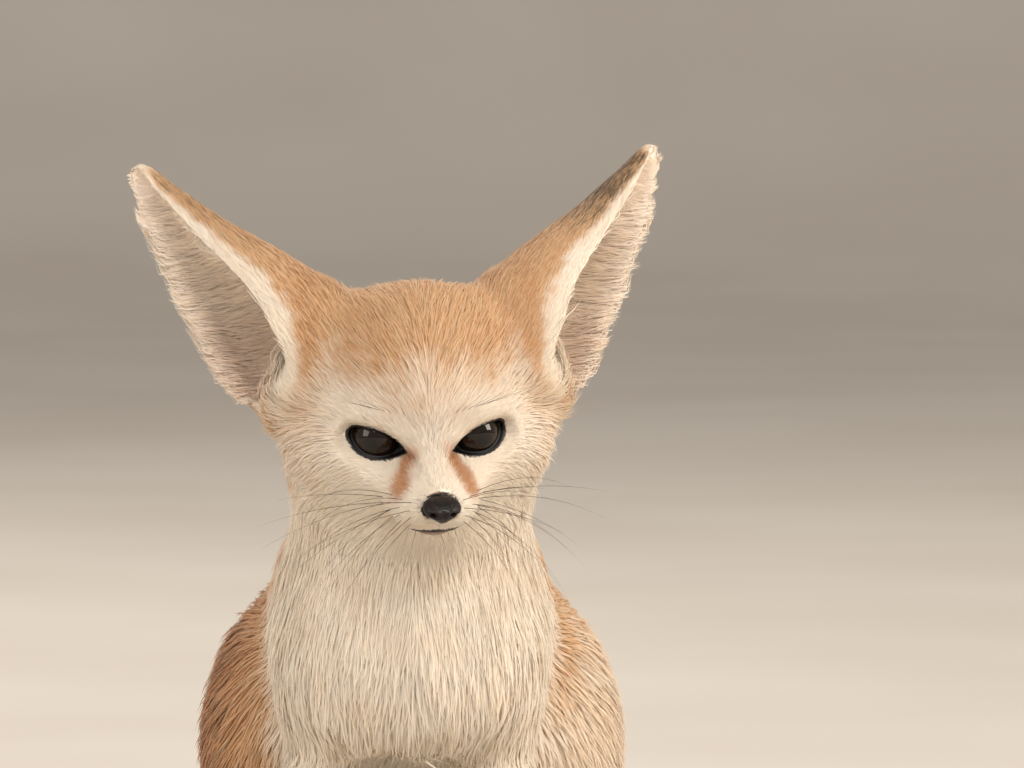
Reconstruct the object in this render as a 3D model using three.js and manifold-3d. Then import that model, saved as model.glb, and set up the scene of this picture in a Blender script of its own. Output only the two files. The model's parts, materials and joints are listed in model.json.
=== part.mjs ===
// A fennec fox at life size, sitting low on the floor with its head turned a little to its left.
//
// The solids give the outside of the coat. The fox faces -Y, its left side is +X and the floor is
// z = 0. Sizes are in millimetres. The head is built in a frame of its own, whose origin is the
// point midway between the eyeballs, and is then pitched, rolled and turned on the neck.
//
// Flesh is described by a field: a function of a point that is negative inside the animal, made of
// simple masses (ellipsoids and round cones) that melt into one another. A net of triangles is
// wrapped round the field, and the net is then parted at the neck, haunches, elbows and paws.
// Ears, eyes, nose, claws, locks of hair and the tail are shaped from three.js geometries.
import * as THREE from "three";
import { mergeVertices } from "three/addons/utils/BufferGeometryUtils.js";
import Module from "manifold-3d";

const wasm = await Module();
wasm.setup();
const { Manifold, Mesh: SolidMesh } = wasm;

const V = (x, y, z) => new THREE.Vector3(x, y, z);
const { degToRad, lerp, smoothstep, clamp } = THREE.MathUtils;

// Driving dimensions
const GAP = 0.3;
const EYES_ABOVE_FLOOR = 190;
const EYES_AHEAD = 54;
const EYES_ASIDE = 6;
const HEAD_PITCH = degToRad(19);
const HEAD_TURN = degToRad(8);
const HEAD_ROLL = degToRad(-2);
const EYE = { at: [16.4, 1.2, 0], radius: 9.4, outward: 20, wide: 9.2, high: 5.3, slant: 12 };
const NOSE = { at: [0, -37, -13.2], size: [6.6, 5.2, 4.9] };
const EAR_TIP = V(93, 52, 94.5);
const HAUNCH_WIDTH = 158;
const SHOULDER_WIDTH = 104;
const TAIL_ROOT_Y = 154;

// Heights at which the nodes part from one another
const ELBOW_CUT = 62;
const WRIST_CUT = 22;
const HOCK_CUT = 19;
const WAIST_CUT = { normal: V(0, 1, 0), through: V(0, 44, 0) };
const NECK_CUT = { normal: V(0, -0.28, 0.96).normalize(), through: V(0, 0, 136) };

const SIDES = { left: 1, right: -1 };

const headFrame = new THREE.Matrix4().compose(
  V(EYES_ASIDE, -EYES_AHEAD, EYES_ABOVE_FLOOR),
  new THREE.Quaternion().setFromEuler(new THREE.Euler(HEAD_PITCH, HEAD_ROLL, HEAD_TURN, "ZYX")),
  V(1, 1, 1),
);
const intoHead = headFrame.clone().invert();

// Fields of simple masses

// How far p is outside an ellipsoid with half-sizes `size`, tilted by `tilt` about the X axis.
function ellipsoid({ at, size, tilt = 0, spread = 0 }) {
  const [cosTilt, sinTilt] = [Math.cos(degToRad(tilt)), Math.sin(degToRad(tilt))];
  const [cosSpread, sinSpread] = [Math.cos(degToRad(spread)), Math.sin(degToRad(spread))];
  return (p) => {
    const dx = p.x - at[0];
    const dy = p.y - at[1];
    const z = p.z - at[2];
    const x = dx * cosSpread + dy * sinSpread;
    const y = dy * cosSpread - dx * sinSpread;
    const u = x / size[0];
    const v = (y * cosTilt + z * sinTilt) / size[1];
    const w = (z * cosTilt - y * sinTilt) / size[2];
    const k0 = Math.hypot(u, v, w);
    const k1 = Math.hypot(u / size[0], v / size[1], w / size[2]);
    return k1 < 1e-9 ? -Math.min(...size) : (k0 * (k0 - 1)) / k1;
  };
}

// How far p is outside the skin stretched over two balls.
function roundCone({ from, to, radii: [r1, r2] }) {
  const a = V(...from);
  const axis = V(...to).sub(a);
  const length2 = axis.lengthSq();
  const taper = r1 - r2;
  const a2 = length2 - taper * taper;
  const pa = V(0, 0, 0);
  const across = V(0, 0, 0);
  return (p) => {
    pa.copy(p).sub(a);
    const y = pa.dot(axis);
    const z = y - length2;
    const x2 = across.copy(pa).multiplyScalar(length2).addScaledVector(axis, -y).lengthSq();
    const y2 = y * y * length2;
    const z2 = z * z * length2;
    const k = Math.sign(taper) * taper * taper * x2;
    if (Math.sign(z) * a2 * z2 > k) return Math.sqrt(x2 + z2) / length2 - r2;
    if (Math.sign(y) * a2 * y2 < k) return Math.sqrt(x2 + y2) / length2 - r1;
    return (Math.sqrt((x2 * a2) / length2) + y * taper) / length2 - r1;
  };
}

// The smaller of a and b, with the corner between them filled over a width k.
function melt(a, b, k) {
  const h = clamp(0.5 + (0.5 * (b - a)) / k, 0, 1);
  return lerp(b, a, h) - k * h * (1 - h);
}

const meltAll = (masses, k) => (p) => masses.reduce((d, mass) => melt(d, mass(p), k), 1e3);
const either = (masses) => (p) => Math.min(...masses.map((mass) => mass(p)));

// A mass and its mirror image on the other side of the body.
function pair(shape, form) {
  const mirrored = (v) => [-v[0], ...v.slice(1)];
  const other = { ...form };
  for (const key of ["at", "from", "to"]) if (form[key]) other[key] = mirrored(form[key]);
  if (form.spread) other.spread = -form.spread;
  return [shape(form), shape(other)];
}

// The head, in its own frame

const CHEEK_HALF_WIDTH = 47;
const CRANIUM = { at: [0, 26, 13], size: [38, 36, 33] };
const headMasses = meltAll(
  [
    ellipsoid(CRANIUM),
    ellipsoid({ at: [0, 5, 9], size: [27, 17, 17], tilt: -20 }),
    ...pair(ellipsoid, { at: [CHEEK_HALF_WIDTH - 23, 18, -9], size: [23, 26, 21], spread: 12 }),
    ...pair(ellipsoid, { at: [30, 34, 18], size: [20, 18, 24] }),
    ...pair(roundCone, { from: [17, 3, -8], to: [9, -20, -15], radii: [12, 7] }),
    ellipsoid({ at: [0, 14, -22], size: [28, 26, 14] }),
    roundCone({ from: [0, -4, -7], to: [0, -30, -14], radii: [13, 7.2] }),
  ],
  9,
);
const LID_DEPTH = 0.9;
const muzzleMasses = meltAll(
  [
    ...pair(ellipsoid, { at: [7, -24, -18], size: [7, 9, 6.5] }),
    roundCone({ from: [0, 4, -24], to: [0, -23, -24.5], radii: [10, 5] }),
    ...pair(ellipsoid, { at: [17, -3, 9], size: [11, 6, 4.5], tilt: 10 }),
    ...pair(ellipsoid, { at: EYE.at, size: [1, 1, 1].map(() => EYE.radius + LID_DEPTH) }),
  ],
  4,
);
const headField = (p) => melt(headMasses(p), muzzleMasses(p), 5);

// The trunk and legs, in the part's frame

const THIGH = { at: [HAUNCH_WIDTH / 2 - 30, 73, 70], size: [30, 50, 48] };
const FOREPAW_X = 25;
const HINDPAW_X = 50;
const trunkMasses = meltAll(
  [
    roundCone({ from: [1, -14, 184], to: [0, 6, 132], radii: [43.5, 45] }),
    ellipsoid({ at: [0, -16, 112], size: [43, 31, 40] }),
    ellipsoid({ at: [0, 42, 108], size: [54, 58, 47], tilt: -14 }),
    ...pair(ellipsoid, { at: [SHOULDER_WIDTH / 2 - 22, 20, 126], size: [23, 32, 28] }),
    ellipsoid({ at: [0, 68, 104], size: [66, 50, 44], tilt: -16 }),
    ellipsoid({ at: [0, 84, 84], size: [57, 48, 46], tilt: -20 }),
    ellipsoid({ at: [0, 98, 46], size: [52, 40, 50] }),
    ...pair(ellipsoid, { at: [SHOULDER_WIDTH / 2 - 21, -4, 100], size: [21, 24, 32] }),
    ...pair(ellipsoid, THIGH),
    roundCone({ from: [0, 116, 40], to: [0, 158, 24], radii: [28, 19] }),
  ],
  14,
);
const forearm = pair(roundCone, { from: [33, 8, 74], to: [26, -26, 22], radii: [15, 8.6] });
const shank = pair(roundCone, { from: [50, 84, 34], to: [50, 94, 12], radii: [16, 10] });

// One paw: the instep, then four toes whose two middle ones reach further forward.
function paw({ x, heel, ball, toeLength, toeWidth, radius }) {
  const toes = [-1.5, -0.5, 0.5, 1.5].map((place) =>
    ellipsoid({
      at: [x + place * toeWidth * 1.28, ball - toeLength * (Math.abs(place) < 1 ? 0.72 : 0.5), 5.5],
      size: [toeWidth * 0.72, toeLength * 0.62, 6],
      spread: -place * 5,
    }),
  );
  const instep = roundCone({ from: [x, heel, radius + 1], to: [x, ball, 8], radii: [radius, 8.6] });
  const pad = ellipsoid({ at: [x, ball + 1, 5.6], size: [toeWidth * 2.3, toeLength * 0.85, 8] });
  return meltAll([instep, pad, ...toes], 2.2);
}

const FOREPAW = { heel: -27, ball: -42, toeLength: 14, toeWidth: 5, radius: 8.6 };
const HINDPAW = { heel: 94, ball: 24, toeLength: 15, toeWidth: 5.4, radius: 9.4 };
const forepaws = Object.values(SIDES).map((side) => paw({ ...FOREPAW, x: side * FOREPAW_X }));
const hindpaws = Object.values(SIDES).map((side) => paw({ ...HINDPAW, x: side * HINDPAW_X }));
const limbs = either([
  ...forearm.map((mass, i) => (p) => melt(mass(p), forepaws[i](p), 6)),
  ...shank.map((mass, i) => (p) => melt(mass(p), hindpaws[i](p), 6)),
]);

const inHead = V(0, 0, 0);
const headFromOutside = (p) => headField(inHead.copy(p).applyMatrix4(intoHead));
const bodyField = (p) => melt(melt(trunkMasses(p), limbs(p), 8), headFromOutside(p), 12);
const fromHead = V(0, 0, 0);
const headWithNeck = (p) => {
  fromHead.copy(p).applyMatrix4(headFrame);
  return melt(headField(p), trunkMasses(fromHead), 12);
};

// Wrapping a net of triangles round a field

// Places from low to high, whose spacing at each place is given by a function.
function spaced(low, high, spacing) {
  const places = [low];
  while (places[places.length - 1] < high) {
    const last = places[places.length - 1];
    places.push(last + spacing(last));
  }
  return places;
}

function gradient(field, p, out) {
  const step = 0.05;
  const q = p.clone();
  out.x = field(q.setX(p.x + step)) - field(q.setX(p.x - step));
  q.x = p.x;
  out.y = field(q.setY(p.y + step)) - field(q.setY(p.y - step));
  q.y = p.y;
  out.z = field(q.setZ(p.z + step)) - field(q.setZ(p.z - step));
  return out.divideScalar(2 * step);
}

// Gives each cell that the surface crosses one point, draws the point onto the surface, and joins
// the four cells round each crossed edge. The net closes itself at the outermost cells.
function wrap(field, [xs, ys, zs]) {
  const [nx, ny, nz] = [xs.length, ys.length, zs.length];
  const index = (i, j, k) => (k * ny + j) * nx + i;
  const values = new Float32Array(nx * ny * nz);
  const p = V(0, 0, 0);
  for (let k = 0; k < nz; k++)
    for (let j = 0; j < ny; j++)
      for (let i = 0; i < nx; i++) {
        const rim = !i || !j || !k || i === nx - 1 || j === ny - 1 || k === nz - 1;
        const value = field(p.set(xs[i], ys[j], zs[k]));
        values[index(i, j, k)] = rim ? Math.max(value, 1e-3) : value || 1e-6;
      }

  const corners = [0, 1, 2, 3, 4, 5, 6, 7].map((c) => [c & 1, (c >> 1) & 1, c >> 2]);
  const edges = [];
  corners.forEach((a, i) =>
    corners.forEach((b, j) => {
      if (i < j && Math.abs(a[0] - b[0]) + Math.abs(a[1] - b[1]) + Math.abs(a[2] - b[2]) === 1)
        edges.push([a, b]);
    }),
  );
  const points = [];
  const pointOf = new Int32Array(nx * ny * nz).fill(-1);
  const slope = V(0, 0, 0);
  for (let k = 0; k < nz - 1; k++)
    for (let j = 0; j < ny - 1; j++)
      for (let i = 0; i < nx - 1; i++) {
        const sum = V(0, 0, 0);
        let crossed = 0;
        for (const [a, b] of edges) {
          const va = values[index(i + a[0], j + a[1], k + a[2])];
          const vb = values[index(i + b[0], j + b[1], k + b[2])];
          if (va < 0 === vb < 0) continue;
          const t = va / (va - vb);
          sum.x += lerp(xs[i + a[0]], xs[i + b[0]], t);
          sum.y += lerp(ys[j + a[1]], ys[j + b[1]], t);
          sum.z += lerp(zs[k + a[2]], zs[k + b[2]], t);
          crossed++;
        }
        if (!crossed) continue;
        const point = sum.divideScalar(crossed);
        const reach = 0.45 * Math.min(xs[i + 1] - xs[i], ys[j + 1] - ys[j], zs[k + 1] - zs[k]);
        const inner = i && j && k && i < nx - 2 && j < ny - 2 && k < nz - 2;
        for (let round = 0; inner && round < 3; round++) {
          gradient(field, point, slope);
          const off = clamp(field(point) / Math.max(slope.lengthSq(), 0.2), -reach, reach);
          point.addScaledVector(slope, -off);
        }
        pointOf[index(i, j, k)] = points.length;
        points.push(point);
      }

  const faces = [];
  const quad = (a, b, c, d, inside) => {
    const [q0, q1, q2, q3] = (inside ? [a, b, c, d] : [a, d, c, b]).map((n) => pointOf[n]);
    const across = points[q0].distanceTo(points[q2]) <= points[q1].distanceTo(points[q3]);
    if (across) faces.push(q0, q1, q2, q0, q2, q3);
    else faces.push(q0, q1, q3, q1, q2, q3);
  };
  for (let k = 0; k < nz - 1; k++)
    for (let j = 0; j < ny - 1; j++)
      for (let i = 0; i < nx - 1; i++) {
        const here = values[index(i, j, k)] < 0;
        const flips = (n) => here !== values[n] < 0;
        const at = (di, dj, dk) => index(i + di, j + dj, k + dk);
        if (j && k && flips(at(1, 0, 0)))
          quad(at(0, -1, -1), at(0, 0, -1), at(0, 0, 0), at(0, -1, 0), here);
        if (i && k && flips(at(0, 1, 0)))
          quad(at(-1, 0, -1), at(-1, 0, 0), at(0, 0, 0), at(0, 0, -1), here);
        if (i && j && flips(at(0, 0, 1)))
          quad(at(-1, -1, 0), at(0, -1, 0), at(0, 0, 0), at(-1, 0, 0), here);
      }
  const geometry = new THREE.BufferGeometry();
  geometry.setFromPoints(points);
  geometry.setIndex(faces);
  return geometry;
}

// Between three.js geometries and solids that can be joined and cut

function solid(geometry) {
  const bare = geometry.clone();
  for (const name of Object.keys(bare.attributes)) {
    if (name !== "position") bare.deleteAttribute(name);
  }
  const merged = mergeVertices(bare, 1e-4);
  const made = new Manifold(
    new SolidMesh({
      numProp: 3,
      vertProperties: merged.attributes.position.array,
      triVerts: new Uint32Array(merged.index.array),
    }),
  );
  return made;
}

// A solid's largest closed surface, which leaves out scraps and sealed hollows.
function largest(shape) {
  const pieces = shape.decompose();
  return pieces.reduce((best, piece) => (piece.volume() > best.volume() ? piece : best));
}

// A solid as a geometry. Corners that a cut has left closer than the grain fall together, and the
// triangles that this flattens are dropped.
const GRAIN = 0.002;
function geometryOf(shape) {
  const { vertProperties, numProp, triVerts } = shape.getMesh();
  const places = new Map();
  const positions = [];
  const place = [];
  for (let i = 0; i < vertProperties.length; i += numProp) {
    const corner = [0, 1, 2].map((axis) => Math.round(vertProperties[i + axis] / GRAIN));
    const key = corner.join();
    if (!places.has(key)) {
      places.set(key, positions.length / 3);
      positions.push(...corner.map((steps) => steps * GRAIN));
    }
    place.push(places.get(key));
  }
  const faces = new Map();
  for (let i = 0; i < triVerts.length; i += 3) {
    const face = [0, 1, 2].map((n) => place[triVerts[i + n]]);
    if (new Set(face).size < 3) continue;
    const key = [...face].sort((a, b) => a - b).join();
    if (faces.has(key)) faces.delete(key);
    else faces.set(key, face);
  }
  const geometry = new THREE.BufferGeometry();
  geometry.setAttribute("position", new THREE.Float32BufferAttribute(positions, 3));
  geometry.setIndex([...faces.values()].flat());
  return geometry;
}

const box = (low, high) =>
  solid(
    new THREE.BoxGeometry(high[0] - low[0], high[1] - low[1], high[2] - low[2]).translate(
      (low[0] + high[0]) / 2,
      (low[1] + high[1]) / 2,
      (low[2] + high[2]) / 2,
    ),
  );

// An ellipsoid used as a cutter, larger all round by `grow`.
function cutter({ at, size, grow = 0, around = 20, down = 12 }) {
  const ball = new THREE.SphereGeometry(1, around, down);
  ball.scale(size[0] + grow, size[1] + grow, size[2] + grow);
  return solid(ball.translate(...at));
}

// The half-space cut: keeps what lies beyond a plane, less half the gap between two nodes.
const beyond = (shape, { normal, through }, way) => {
  const direction = normal.clone().multiplyScalar(way);
  return shape.trimByPlane(direction.toArray(), direction.dot(through) + GAP / 2);
};
const FLOOR = { normal: V(0, 0, 1), through: V(0, 0, -GAP / 2) };

// Lofts: a skin over rings of points, each ring with as many points as the next

// The two triangles between each pair of neighbours on two rings.
function band(faces, from, to, count) {
  for (let n = 0; n < count; n++) {
    const next = (n + 1) % count;
    faces.push(from + n, from + next, to + next, from + n, to + next, to + n);
  }
}

// Rings from first to last; the ends are capped, or joined to each other when `loop` is set.
function loft(rings, loop = false) {
  const count = rings[0].length;
  const points = rings.flat();
  const faces = [];
  for (let r = 0; r + 1 < rings.length; r++) band(faces, r * count, (r + 1) * count, count);
  if (loop) band(faces, (rings.length - 1) * count, 0, count);
  else {
    cap(rings[0], 0, faces, true);
    cap(rings[rings.length - 1], (rings.length - 1) * count, faces, false);
  }
  const geometry = new THREE.BufferGeometry().setFromPoints(points);
  geometry.setIndex(faces);
  return outward(geometry);
}

// Fills a flat ring, which may be hollow on one side.
function cap(ring, first, faces, reversed) {
  const centre = ring.reduce((sum, p) => sum.add(p), V(0, 0, 0)).divideScalar(ring.length);
  const normal = V(0, 0, 0);
  ring.forEach((p, n) => {
    const q = ring[(n + 1) % ring.length];
    normal.add(p.clone().sub(centre).cross(q.clone().sub(centre)));
  });
  normal.normalize();
  const u = ring[0].clone().sub(centre);
  u.addScaledVector(normal, -u.dot(normal)).normalize();
  const v = normal.clone().cross(u);
  const flat = ring.map((p) => {
    const d = p.clone().sub(centre);
    return new THREE.Vector2(d.dot(u), d.dot(v));
  });
  for (const [a, b, c] of THREE.ShapeUtils.triangulateShape(flat, [])) {
    if (reversed) faces.push(first + a, first + c, first + b);
    else faces.push(first + a, first + b, first + c);
  }
}

// Turns a closed geometry's faces to look outward.
function outward(geometry) {
  const position = geometry.attributes.position;
  const index = geometry.index.array;
  const [a, b, c] = [V(0, 0, 0), V(0, 0, 0), V(0, 0, 0)];
  let volume = 0;
  for (let i = 0; i < index.length; i += 3) {
    a.fromBufferAttribute(position, index[i]);
    b.fromBufferAttribute(position, index[i + 1]);
    c.fromBufferAttribute(position, index[i + 2]);
    volume += a.dot(b.cross(c));
  }
  if (volume < 0) {
    for (let i = 0; i < index.length; i += 3)
      [index[i + 1], index[i + 2]] = [index[i + 2], index[i + 1]];
  }
  return geometry;
}

// A ring of `count` points round `centre`, an ellipse in the plane of u and v.
const ellipseRing = (centre, u, v, ru, rv, count, turn = 0) =>
  Array.from({ length: count }, (_, n) => {
    const angle = ((n + turn) / count) * Math.PI * 2;
    return centre
      .clone()
      .addScaledVector(u, Math.cos(angle) * ru)
      .addScaledVector(v, Math.sin(angle) * rv);
  });

// Locks of hair: flat, tapered strands whose roots are sunk in the flesh

let seed = 20;
const random = () => {
  seed = (seed * 16807) % 2147483647;
  return seed / 2147483647;
};
const between = (low, high) => lerp(low, high, random());

function lock({ root, out, along, length, width, thick, bend = 0, lift = 0.1, sink = 4 }) {
  const lie = along.clone().addScaledVector(out, -along.dot(out)).normalize();
  const side = lie.clone().cross(out);
  const shares = [0, 0.42, 0.76, 1];
  const widths = [0.6, 1, 0.66, 0.06];
  const rings = shares.map((share, n) => {
    const centre = root
      .clone()
      .addScaledVector(lie, length * (share - 0.22))
      .addScaledVector(out, lift * length * share - (n ? 0 : sink))
      .addScaledVector(side, bend * length * share * share);
    return ellipseRing(centre, side, out, (width / 2) * widths[n], (thick / 2) * widths[n], 4);
  });
  return solid(loft(rings));
}

// The point where a line from inside a field comes out of it, and the outward direction there.
function surface(field, from, toward) {
  const point = from.clone();
  const way = toward.clone().normalize();
  let step = 4;
  for (let n = 0; n < 60 && step > 0.02; n++) {
    point.addScaledVector(way, step);
    if (field(point) > 0) {
      point.addScaledVector(way, -step);
      step /= 2;
    }
  }
  return { point, out: gradient(field, point, V(0, 0, 0)).normalize() };
}

// The head: flesh, cheek ruff, sockets, lids, mouth, and pockets for the nose and ears

const HEAD_CUTTER = { at: [0, 10, 5], size: [74, 62, 49], around: 28, down: 18 };
const X = V(1, 0, 0);
const Y = V(0, 1, 0);
const Z = V(0, 0, 1);

const headNet = wrap(headWithNeck, [
  spaced(-58, 58, (x) => (Math.abs(x + 2.1) < 24 ? 4.2 : 7)),
  spaced(-46, 78, (y) => (y < -12 ? 3.9 : y < 8 ? 5 : 9.4)),
  spaced(-60, 66, (z) => (z < 12 ? 4.3 : 8.4)),
]);

// The eye's own directions: ahead out of the socket, along the slit, and up.
function eyeFrame(side) {
  const outward = degToRad(EYE.outward);
  const ahead = V(side * Math.sin(outward), -Math.cos(outward), 0.06).normalize();
  const slit = V(side * Math.cos(outward), Math.sin(outward), 0);
  slit.applyAxisAngle(ahead, side * degToRad(EYE.slant));
  return { ahead, slit, up: slit.clone().cross(ahead).multiplyScalar(side) };
}

const eyeCentre = (side) => V(side * EYE.at[0], EYE.at[1], EYE.at[2]);

// Points round the almond of the lids, on a ball about the eye; `grow` widens the almond.
function almond(side, radius, grow, count) {
  const { ahead, slit, up } = eyeFrame(side);
  return Array.from({ length: count }, (_, n) => {
    const angle = (n / count) * Math.PI * 2;
    const x = Math.cos(angle) * (EYE.wide + grow);
    const round = Math.sin(angle) * (1 - 0.32 * Math.cos(angle) ** 4);
    const y = round * (round > 0 ? EYE.high + 0.6 + grow : EYE.high - 0.4 + grow);
    const depth = Math.sqrt(Math.max(radius * radius - x * x * 0.8 - y * y, 1));
    return eyeCentre(side)
      .addScaledVector(ahead, depth)
      .addScaledVector(slit, x)
      .addScaledVector(up, y);
  });
}

function lidRim(side) {
  const { ahead } = eyeFrame(side);
  const line = almond(side, EYE.radius + 2.1, 0.5, 16);
  const rings = line.map((p, n) => {
    const next = line[(n + 1) % line.length];
    const before = line[(n + line.length - 1) % line.length];
    const tangent = next.clone().sub(before).normalize();
    const outer = tangent.clone().cross(ahead).normalize();
    return ellipseRing(p, outer, ahead, 1.3, 1.2, 5);
  });
  return solid(loft(rings, true));
}

function eyeOpening(side) {
  const { ahead } = eyeFrame(side);
  const near = almond(side, EYE.radius + 0.4, -0.1, 16).map((p) => p.addScaledVector(ahead, -6));
  const far = almond(side, EYE.radius + 0.4, 0.2, 16).map((p) => p.addScaledVector(ahead, 9));
  return solid(loft([near, far]));
}

const eyeBall = (side, grow = 0) => {
  const { ahead } = eyeFrame(side);
  const ball = new THREE.SphereGeometry(EYE.radius + grow, 14, 9);
  ball.applyQuaternion(new THREE.Quaternion().setFromUnitVectors(Y, ahead));
  return solid(ball.translate(...eyeCentre(side).toArray()));
};

// The line of the mouth: from the corner on one side, round under the nose, to the other corner.
const MOUTH = { corner: V(15.5, -7, -21), front: V(0, -33, -24.2) };
function mouthLine(lower) {
  return Array.from({ length: 15 }, (_, n) => {
    const across = (n / 14) * 2 - 1;
    const back = Math.abs(across);
    const dip = 0.9 * Math.cos(Math.PI * across * 1.6) * (1 - back);
    const z = lerp(MOUTH.front.z, MOUTH.corner.z, back ** 1.4) + dip - lower;
    const angle = across * degToRad(62);
    const from = V(0, -8 + 4 * back, z);
    return surface(headField, from, V(Math.sin(angle), -Math.cos(angle), 0));
  });
}

function mouthTube(lower, depth, high, sink) {
  const line = mouthLine(lower);
  const rings = line.map(({ point, out }, n) => {
    const fade = n === 0 || n === line.length - 1 ? 0.25 : 1;
    const flat = V(out.x, out.y, 0).normalize();
    const centre = point.clone().addScaledVector(flat, -sink);
    return ellipseRing(centre, flat, Z, depth * fade, high * fade, 4);
  });
  return solid(loft(rings));
}

function noseShape(grow) {
  const pad = new THREE.SphereGeometry(1, 13, 8);
  const position = pad.attributes.position;
  for (let i = 0; i < position.count; i++) {
    const [x, y, z] = [position.getX(i), position.getY(i), position.getZ(i)];
    const narrow = 1 - 0.3 * smoothstep(-z, -0.2, 1);
    position.setXYZ(
      i,
      x * narrow * (NOSE.size[0] + grow),
      y * (NOSE.size[1] + grow),
      z * (NOSE.size[2] + grow) + 0.5 * y,
    );
  }
  return solid(pad.translate(...NOSE.at));
}

function nostril(side) {
  const hole = new THREE.SphereGeometry(1, 7, 4);
  hole.scale(1.5, 3.6, 1.35);
  hole.rotateZ(side * degToRad(38));
  return solid(hole.translate(side * 3.4, NOSE.at[1] - 3.9, NOSE.at[2] - 0.4));
}

// The ears: horns slit open along the side that faces ahead and outward

const EAR = {
  lean: V(0.565, 0.3, 0.826).normalize(),
  across: V(0.826, 0, -0.565),
  opening: 58,
  wall: 3.2,
  // Distance from the tip, radius, shift of the centre outward, half the angle left open
  stations: [
    [104, 20, -3, 26],
    [92, 24.5, -4, 38],
    [78, 26, -4, 52],
    [64, 23.6, -2.8, 58],
    [51, 19.8, -1.2, 60],
    [39, 15.6, 0, 60],
    [27, 11.8, 0.6, 60],
    [15, 8, 0.8, 58],
    [5, 4.6, 0.4, 54],
    [0, 2.2, 0, 45],
  ],
};
const EAR_LENGTH = 102;
const earAhead = EAR.across.clone().cross(EAR.lean).normalize();

// A point of the ear, `angle` round from the middle of its opening, in the left ear of the head.
function earPoint([along, , shift], radius, angle) {
  const turn = degToRad(EAR.opening + angle);
  const p = EAR_TIP.clone()
    .addScaledVector(EAR.lean, (-along * EAR_LENGTH) / 100)
    .addScaledVector(EAR.across, shift + Math.sin(turn) * radius)
    .addScaledVector(earAhead, Math.cos(turn) * radius * 0.92);
  return p.applyAxisAngle(X, -HEAD_PITCH);
}

const mirror = (side) => (p) => (side > 0 ? p : p.setX(-p.x));
const ARC = 10;

function earShape(side) {
  const rings = EAR.stations.map((station) => {
    const [, radius, , open] = station;
    const wall = Math.min(EAR.wall, radius * 0.5);
    const ring = [];
    for (let n = 0; n <= ARC; n++)
      ring.push(earPoint(station, radius, lerp(open, 360 - open, n / ARC)));
    for (let n = ARC - 1; n >= 1; n--)
      ring.push(earPoint(station, radius - wall, lerp(open + 4, 356 - open, n / ARC)));
    return ring.map(mirror(side));
  });
  return solid(loft(rings));
}

function earPocket(side) {
  const rings = EAR.stations.slice(0, 7).map((station, n) => {
    const [along, radius, shift, open] = station;
    const grown = [along + (n ? 0 : GAP), radius + GAP, shift, open];
    const ring = [];
    for (let k = 0; k <= ARC; k++)
      ring.push(earPoint(grown, radius + GAP, lerp(open, 360 - open, k / ARC)));
    for (const share of [0.25, 0.5, 0.75])
      ring.push(earPoint(grown, radius + GAP, lerp(360 - open, 360 + open, share)));
    return ring.map(mirror(side));
  });
  return solid(loft(rings));
}

// Hair hanging from the cheeks, back and down past the corners of the jaw.
function cheekLocks(side) {
  return Array.from({ length: 8 }, (_, n) => {
    const turn = degToRad(lerp(-58, 16, n / 7) + between(-3, 3));
    const from = V(side * 8, 20 + between(-6, 8), -10);
    const toward = V(side * Math.cos(turn), 0, Math.sin(turn));
    const { point, out } = surface(headField, from, toward);
    return lock({
      root: point,
      out,
      along: V(side * between(0.3, 0.6), between(0.5, 0.9), -0.8),
      length: between(18, 24),
      width: between(11, 14),
      thick: 3.6,
      lift: between(0.08, 0.18),
      bend: between(-0.2, 0.2),
    });
  });
}

const both = Object.values(SIDES);
let headFlesh = Manifold.union([
  solid(headNet),
  ...both.map(lidRim),
  mouthTube(-1.1, 1.2, 0.9, 0.5),
  mouthTube(1.1, 1.2, 0.9, 0.5),
  ...both.flatMap(cheekLocks),
]);
headFlesh = headFlesh.intersect(cutter(HEAD_CUTTER)).subtract(mouthTube(0, 2.2, 0.55, 0.2));
headFlesh = headFlesh.subtract(noseShape(GAP));
for (const side of both) {
  headFlesh = headFlesh
    .subtract(eyeBall(side, GAP))
    .subtract(eyeOpening(side))
    .subtract(earPocket(side));
}
const noseFlesh = noseShape(0).subtract(nostril(1)).subtract(nostril(-1));

// The trunk, parted at the neck, haunches and legs

const THIGH_CUTTER = { at: [64, 70, 62], size: [37, 58, 56], around: 16, down: 10 };
const FORE_ZONE = { low: [8, -80, -5], high: [62, 22, ELBOW_CUT] };
const HIND_ZONE = { low: [34, -12, -5], high: [72, 112, HOCK_CUT] };

// A box on one side of the body, shrunk or grown all round.
function zone({ low, high }, side, grow) {
  const near = low.map((v) => v - grow);
  const far = high.map((v) => v + grow);
  return side > 0 ? box(near, far) : box([-far[0], near[1], near[2]], [-near[0], far[1], far[2]]);
}

const sideCutter = (side, grow) => {
  const [x, y, z] = THIGH_CUTTER.at;
  return cutter({ ...THIGH_CUTTER, at: [side * x, y, z], grow });
};

const even = (size) => () => size;

// Hair of the chest: locks in rows that overlap like shingles, hanging down and a little ahead.
function chestLocks() {
  const rows = [
    { z: 146, count: 4, reach: 26 },
    { z: 130, count: 5, reach: 32 },
    { z: 114, count: 4, reach: 25 },
    { z: 98, count: 5, reach: 26 },
    { z: 84, count: 3, reach: 14 },
  ];
  return rows.flatMap(({ z, count, reach }) =>
    Array.from({ length: count }, (_, n) => {
      const x = lerp(-reach, reach, n / (count - 1)) + between(-3, 3);
      const from = V(x * 0.5, 8, z + between(-3, 3));
      const { point, out } = surface(bodyField, from, V(x * 0.7, -28, 0));
      return lock({
        root: point,
        out,
        along: V(-x * 0.012, -0.25, -1),
        length: between(27, 33),
        width: between(16, 20),
        thick: 4.2,
        lift: between(0, 0.07),
        bend: between(-0.16, 0.16),
      });
    }),
  );
}

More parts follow.
